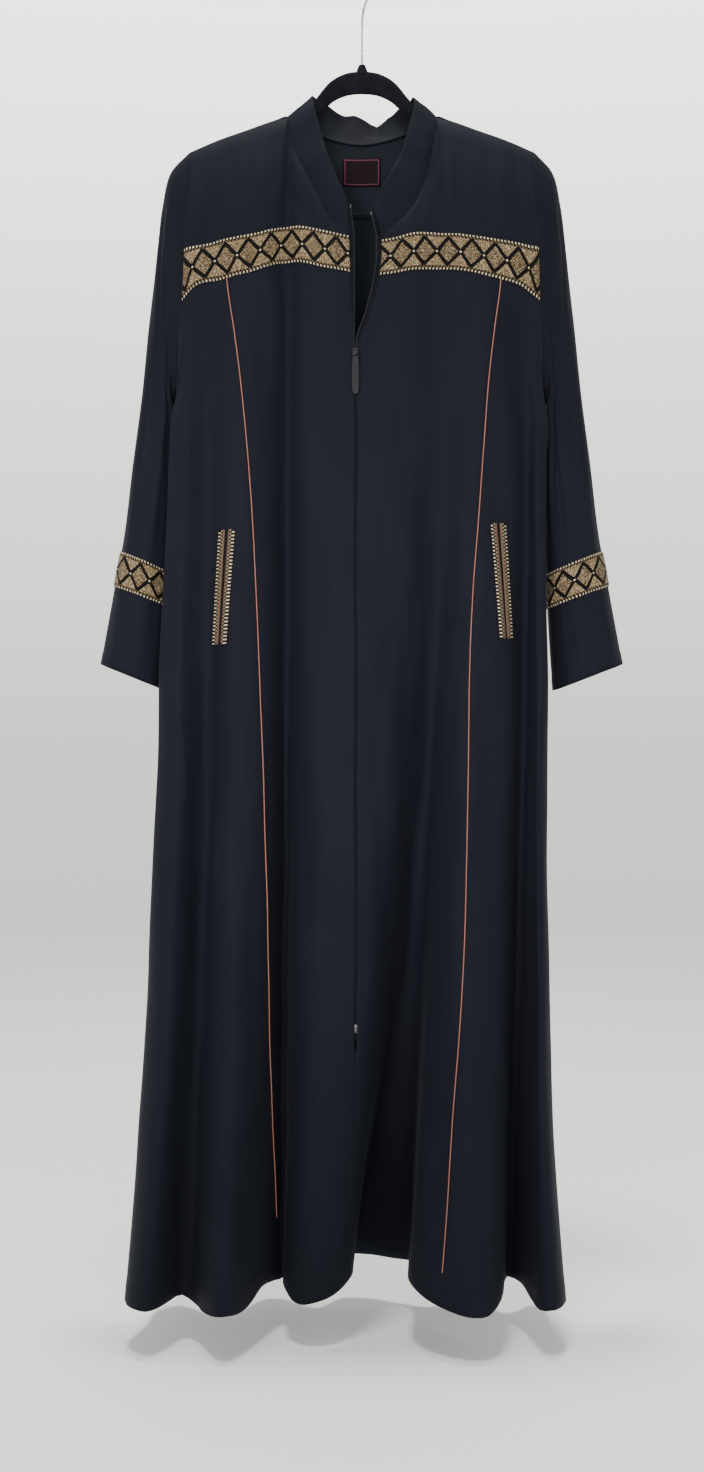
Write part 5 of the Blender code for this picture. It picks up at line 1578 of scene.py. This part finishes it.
bottomStop = (
    ((2.3, 1.8, 9.5), (0, -0.3, 0), 0.7, -0.4),
    ((5.2, 1.4, 10.5), (0, 1.6, 0), 0.5, 0),
)
made = bmesh.new()
stopY = edgeDepth(fine["right"][0], zipper["stopZ"])
addBoxes(made, (zipper["x"], stopY, zipper["stopZ"]), bottomStop)
dress(hardMesh(made, "zip_bottom_stop_clip"), silver, "zip_bottom_stop")
print("zip made")

grid, rowMarks, columnMarks = fineBack
upper = (grid[:, :, 2] > label["above"]).any(axis=1)
start, end = (columnMarks[column] for column in label["columns"])
surface = Surface(grid[upper][:, start:end])
rows = []
for down in np.linspace(0, 1, 10):
    z = label["z"] + label["height"] * (0.5 - down)
    row = []
    for part in np.linspace(-0.5, 0.5, 14):
        x = part * label["width"]
        bow = 0.5 * math.sin(math.pi * down) + 0.3 * math.cos(math.pi * part)
        row.append((x, surface.depth(x, z) - label["lift"] - bow, z))
    rows.append(row)
obj = clothPiece("neck_label_woven", np.array(rows), 1, (), thick=label["thick"])
dress(obj, labelCloth, "neck_label")

# the hanger: a flocked bent board with a rounded edge, a tapered nub and a wire hook
hanger = {
    "depth": 5.0,
    "square": 3.2,  # how square its section is
    "sides": 20,
    "step": 9.0,
    # x and z of the outer and the inner edge, from the middle of the top to that of the bar
    "half": (
        ((0, -142), (0, -169.4)),
        ((20, -144.5), (18, -171.2)),
        ((38.4, -154.5), (33, -177.5)),
        ((55, -174), (44.5, -187)),
        ((64, -183.5), (56, -196)),
        ((75, -191.8), (68, -205)),
        ((89, -201.2), (85, -214.5)),
        ((107, -206), (102, -220)),
        ((138, -215.8), (133, -230)),
        ((172, -228), (167, -242)),
        ((197, -239.4), (184, -251)),
        ((203, -247), (189, -259)),
        ((203, -292), (193, -292)),
        ((199, -309), (190, -304)),
        ((188, -319), (182, -311)),
        ((120, -320), (118, -312)),
        ((0, -320), (0, -312)),
    ),
    # radius and z down the nub, and how flat it is
    "nub": (
        (7.0, -146), (7.0, -144.6), (6.4, -141), (5.2, -137.6),
        (3.9, -135), (3.5, -134), (1.5, -134), (1.5, -139),
    ),
    "nubFlat": 6 / 14,
    "wire": 1.4,
    "hookRadius": 21.0,
    "hookTurn": (-20, 205),
    "stem": ((0, -136), (0, -118), (0, -100), (0.2, -86), (1.6, -70), (6.5, -55), (14, -42)),
}
half = hanger["half"]
ring = [(*a, *b) for a, b in half] + [(-a[0], a[1], -b[0], b[1]) for a, b in half[-2:0:-1]]
ring = np.array(ring, float)
extended = np.vstack([ring[-3:], ring, ring[:4]])
reach = reachOf(extended[:, :2] + extended[:, 2:])
places = []
for start, end in zip(reach[3 : 3 + len(ring)], reach[4 : 4 + len(ring)]):
    places += list(np.linspace(start, end, max(2, int((end - start) / hanger["step"])) + 1)[:-1])
turn = circle(hanger["sides"])
power = 2 / hanger["square"]
flat = np.copysign(abs(np.cos(turn)) ** power, np.cos(turn))
deep = np.copysign(abs(np.sin(turn)) ** power, np.sin(turn)) * hanger["depth"] / 2
rings = []
for outX, outZ, inX, inZ in smoothThrough(reach, extended, places):
    centre = np.array([0.5 * (outX + inX), 0, 0.5 * (outZ + inZ)])
    reachOut = np.array([0.5 * (outX - inX), 0, 0.5 * (outZ - inZ)])
    rings.append(centre + np.outer(flat, reachOut) + np.outer(deep, (0, 1, 0)))
faces = ringFaces(len(rings), len(turn), closed=True)
faces += ringFaces(len(hanger["nub"]), len(turn), first=len(rings) * len(turn))
for radius, z in hanger["nub"]:
    x, y = radius * np.cos(turn), radius * np.sin(turn) * hanger["nubFlat"]
    rings.append(np.stack([x, y, np.full(len(turn), z)], axis=1))
body = fixNormals(meshFrom("hanger_body_flock", np.vstack(rings), faces))
dress(body, flock, "hanger_body")
turn = np.radians(np.linspace(*hanger["hookTurn"], 40))
bend = hanger["hookRadius"] * np.stack([np.cos(turn), np.sin(turn)], axis=1)
bend = bend + (0, hanger["wire"] - hanger["hookRadius"])
route = np.insert(np.vstack([np.array(hanger["stem"], float), bend]), 1, 0, axis=1)
hook = tube("hanger_hook_wire", smoothPath(route, 1.6), hanger["wire"], hanger["sides"], cap=4)
dress(hook, steel, "hanger_hook")
print("label and hanger made")

stitch = {
    "length": 2.6,
    "gap": 0.9,
    "radius": 0.2,
    "lift": 0.12,
    "hemLift": 0.5,
    "fromZip": 6.0,
    "sides": 5,
    # along a thread, its width and how high it stands
    "shape": ((0, 0.35, -0.5), (0.18, 1, 0.4), (0.5, 1.1, 0.8), (0.82, 1, 0.4), (1, 0.35, -0.5)),
}


def stitches(name, path, outs, lift=stitch["lift"]):
    # a line of short threads lying on the cloth
    reach = reachOf(path)
    pitch, radius, sides = stitch["length"] + stitch["gap"], stitch["radius"], stitch["sides"]
    turn = circle(sides)
    points, faces = [], []
    for number in range(int(reach[-1] / pitch)):
        faces += ringFaces(len(stitch["shape"]), sides, first=len(points))
        for share, size, high in stitch["shape"]:
            place = number * pitch + stitch["gap"] / 2 + stitch["length"] * share
            centre, after = (pointAt(at, reach, path) for at in (place, place + 0.5))
            out = unit(pointAt(place, reach, outs))
            across = unit(np.cross(unit(after - centre + 1e-6), out))
            middle = centre + out * (lift + high * radius)
            hoop = np.outer(np.cos(turn), out) + np.outer(np.sin(turn), across)
            points.extend(middle + radius * size * hoop)
    dress(meshFrom(name, points, faces), blackThread)


def hemRow(grid, turn):  # the row where a hem's turned-up edge is sewn
    return len(grid) - 1 - int(round(turn / cloth["row"]))


for which in halves:
    grid, rowMarks, columnMarks, sign = marksOf(which)
    normals = normalsOf(grid, sign)
    start = rowMarks[cut["bandBottomRow"]]
    line = [pointAt(stitch["fromZip"], reachOf(row), row) for row in grid[start:, ::-1]]
    stitches(f"stitches_zip_{which}", np.array(line), normals[start:, -2])
    sewn = hemRow(grid, cloth["hemTurn"])
    stitches(f"stitches_hem_{which}", grid[sewn], normals[sewn], stitch["hemLift"])
    grid = fineSleeves[which][0]
    normals = normalsOf(grid, sign, True)
    sewn = hemRow(grid, cloth["cuffTurn"])
    line, outs = (np.vstack([rows[sewn], rows[sewn, :1]]) for rows in (grid, normals))
    stitches(f"stitches_cuff_{which}", line, outs, stitch["hemLift"])
grid = fineBack[0]
sewn = hemRow(grid, cloth["hemTurn"])
stitches("stitches_hem_back", grid[sewn], normalsOf(grid, -1)[sewn], stitch["hemLift"])
stitches("stitches_collar", fineCollar[-3], normalsOf(fineCollar, 1)[-3])
print("stitches made")

# what each cloth piece was cut to, printed; the narrow ribbons are skipped, and those on a front
# side are gathered but not used
leastSheet = 0.012
narrow = [obj for obj, flat, area in sheets if flat[0] < leastSheet]
for obj, flat, area in sheets:
    if obj in narrow:
        continue
    area = max(0.3 * flat[0] * flat[1], min(area, flat[0] * flat[1]))
    which = obj.name.split("_")[2] if obj.name.startswith("front_side") else "none"
    trims = [ribbon for ribbon in narrow if which in ribbon.name]
    print(f"sheet {obj.name}: {flat[0] / mm:.0f} x {flat[1] / mm:.0f} mm, {area:.4f} m2")

studio = {
    "floor": -1656.0,
    "pale": (0.80, 0.80, 0.785),
    "reach": 9000.0,
    "rings": 12,
    "sides": 48,
    "fade": (1.3, 5.5),  # metres over which the floor fades into the backdrop's colour
    "air": (  # the backdrop's light by height, from straight down to straight up
        (0.0, (0.5, 0.5, 0.48)),
        (0.36, (0.88, 0.89, 0.85)),
        (0.5, (1.15, 1.15, 1.1)),
        (0.61, (1.9, 1.9, 1.84)),
        (0.7, (3.2, 3.2, 3.14)),
        (0.75, (0.7, 0.7, 0.69)),
        (1.0, (0.3, 0.3, 0.3)),
    ),
    # place, aim, size, watts, colour and spread in degrees of each lamp
    "lamps": {
        "key": ((-0.9, -2.9, -0.75), (-0.06, 0, -0.8), (0.9, 0.6), 4.5, (1.0, 0.88, 0.95), 32),
        "fill": ((0.7, -3.4, -0.7), (0, 0, -1.05), (1.6, 1.2), 25, (1.0, 1.0, 0.98), 180),
        "top back": ((-0.1, 0.3, 5.4), (0, 0, -1.0), (0.8, 0.8), 350, (1, 1, 1), 180),
        "top front": ((-0.4, -1.9, 5.2), (0, 0, -1.0), (1.0, 0.8), 240, (1, 1, 1), 180),
    },
}
points = [(0, 0, studio["floor"])]
for number in range(1, studio["rings"] + 1):
    radius = studio["reach"] * (number / studio["rings"]) ** 1.5
    for a in circle(studio["sides"]):
        points.append((radius * math.cos(a), radius * math.sin(a), studio["floor"]))
sides = studio["sides"]
faces = [(0, 1 + k, 1 + (k + 1) % sides) for k in range(sides)]
faces += [face[::-1] for face in ringFaces(studio["rings"], sides, first=1)[:-2]]
floor = meshFrom("studio_floor", points, faces)
paper = Finish("floor paper", specular=0.15, roughness=0.85)
there = paper.node("TexCoord", output=3)
shade = tuple(c * 0.97 for c in studio["pale"])
paper.set(colour=paper.mix(paper.noise(there, 1.2, 3.0) * 0.25, studio["pale"], shade))
away = paper.node("VectorMath", {"operation": "LENGTH"}, output=1, _0=there)
solid = Sock(paper, paper.shader.outputs[0])
clear = paper.node("BsdfTransparent")
faded = paper.node("MixShader", _0=away.ramp(*studio["fade"]), _1=solid, _2=clear)
paper.feed(paper.tree.nodes["Material Output"].inputs[0], faded)
floor.data.materials.append(paper.material)

for name, (place, aim, size, watts, colour, spread) in studio["lamps"].items():
    data = bpy.data.lights.new(name, "AREA")
    data.shape = "RECTANGLE"
    data.size, data.size_y = size
    data.energy = watts
    data.color = colour
    data.spread = math.radians(spread)
    lamp = linked(bpy.data.objects.new(name, data))
    lamp.location = place
    lamp.rotation_euler = (Vector(aim) - Vector(place)).to_track_quat("-Z", "Y").to_euler()
    lamp.visible_camera = False

world = bpy.data.worlds.new("studio air")
world.use_nodes = True
air = Shading(world.node_tree)
height = air.node("SeparateXYZ", output=2, _0=air.node("TexCoord"))
light = air.node("ValToRGB", {"stops": studio["air"]}, _0=height * 0.5 + 0.5)
background = air.tree.nodes["Background"]
air.feed(background.inputs[0], light)
air.feed(background.inputs[1], 1.0)
bpy.context.scene.world = world

view = {"place": (-0.012, -2.0, -0.9392), "focal": 1666.7, "height": 1472, "sensor": 36}
lens = bpy.data.cameras.new("camera")
lens.sensor_width = view["sensor"]
lens.lens = view["sensor"] * view["focal"] / view["height"]
lens.clip_end = 50
camera = linked(bpy.data.objects.new("camera", lens))
camera.location = view["place"]
camera.rotation_euler = (math.radians(90), 0, 0)
bpy.context.scene.camera = camera

bpy.context.view_layer.update()
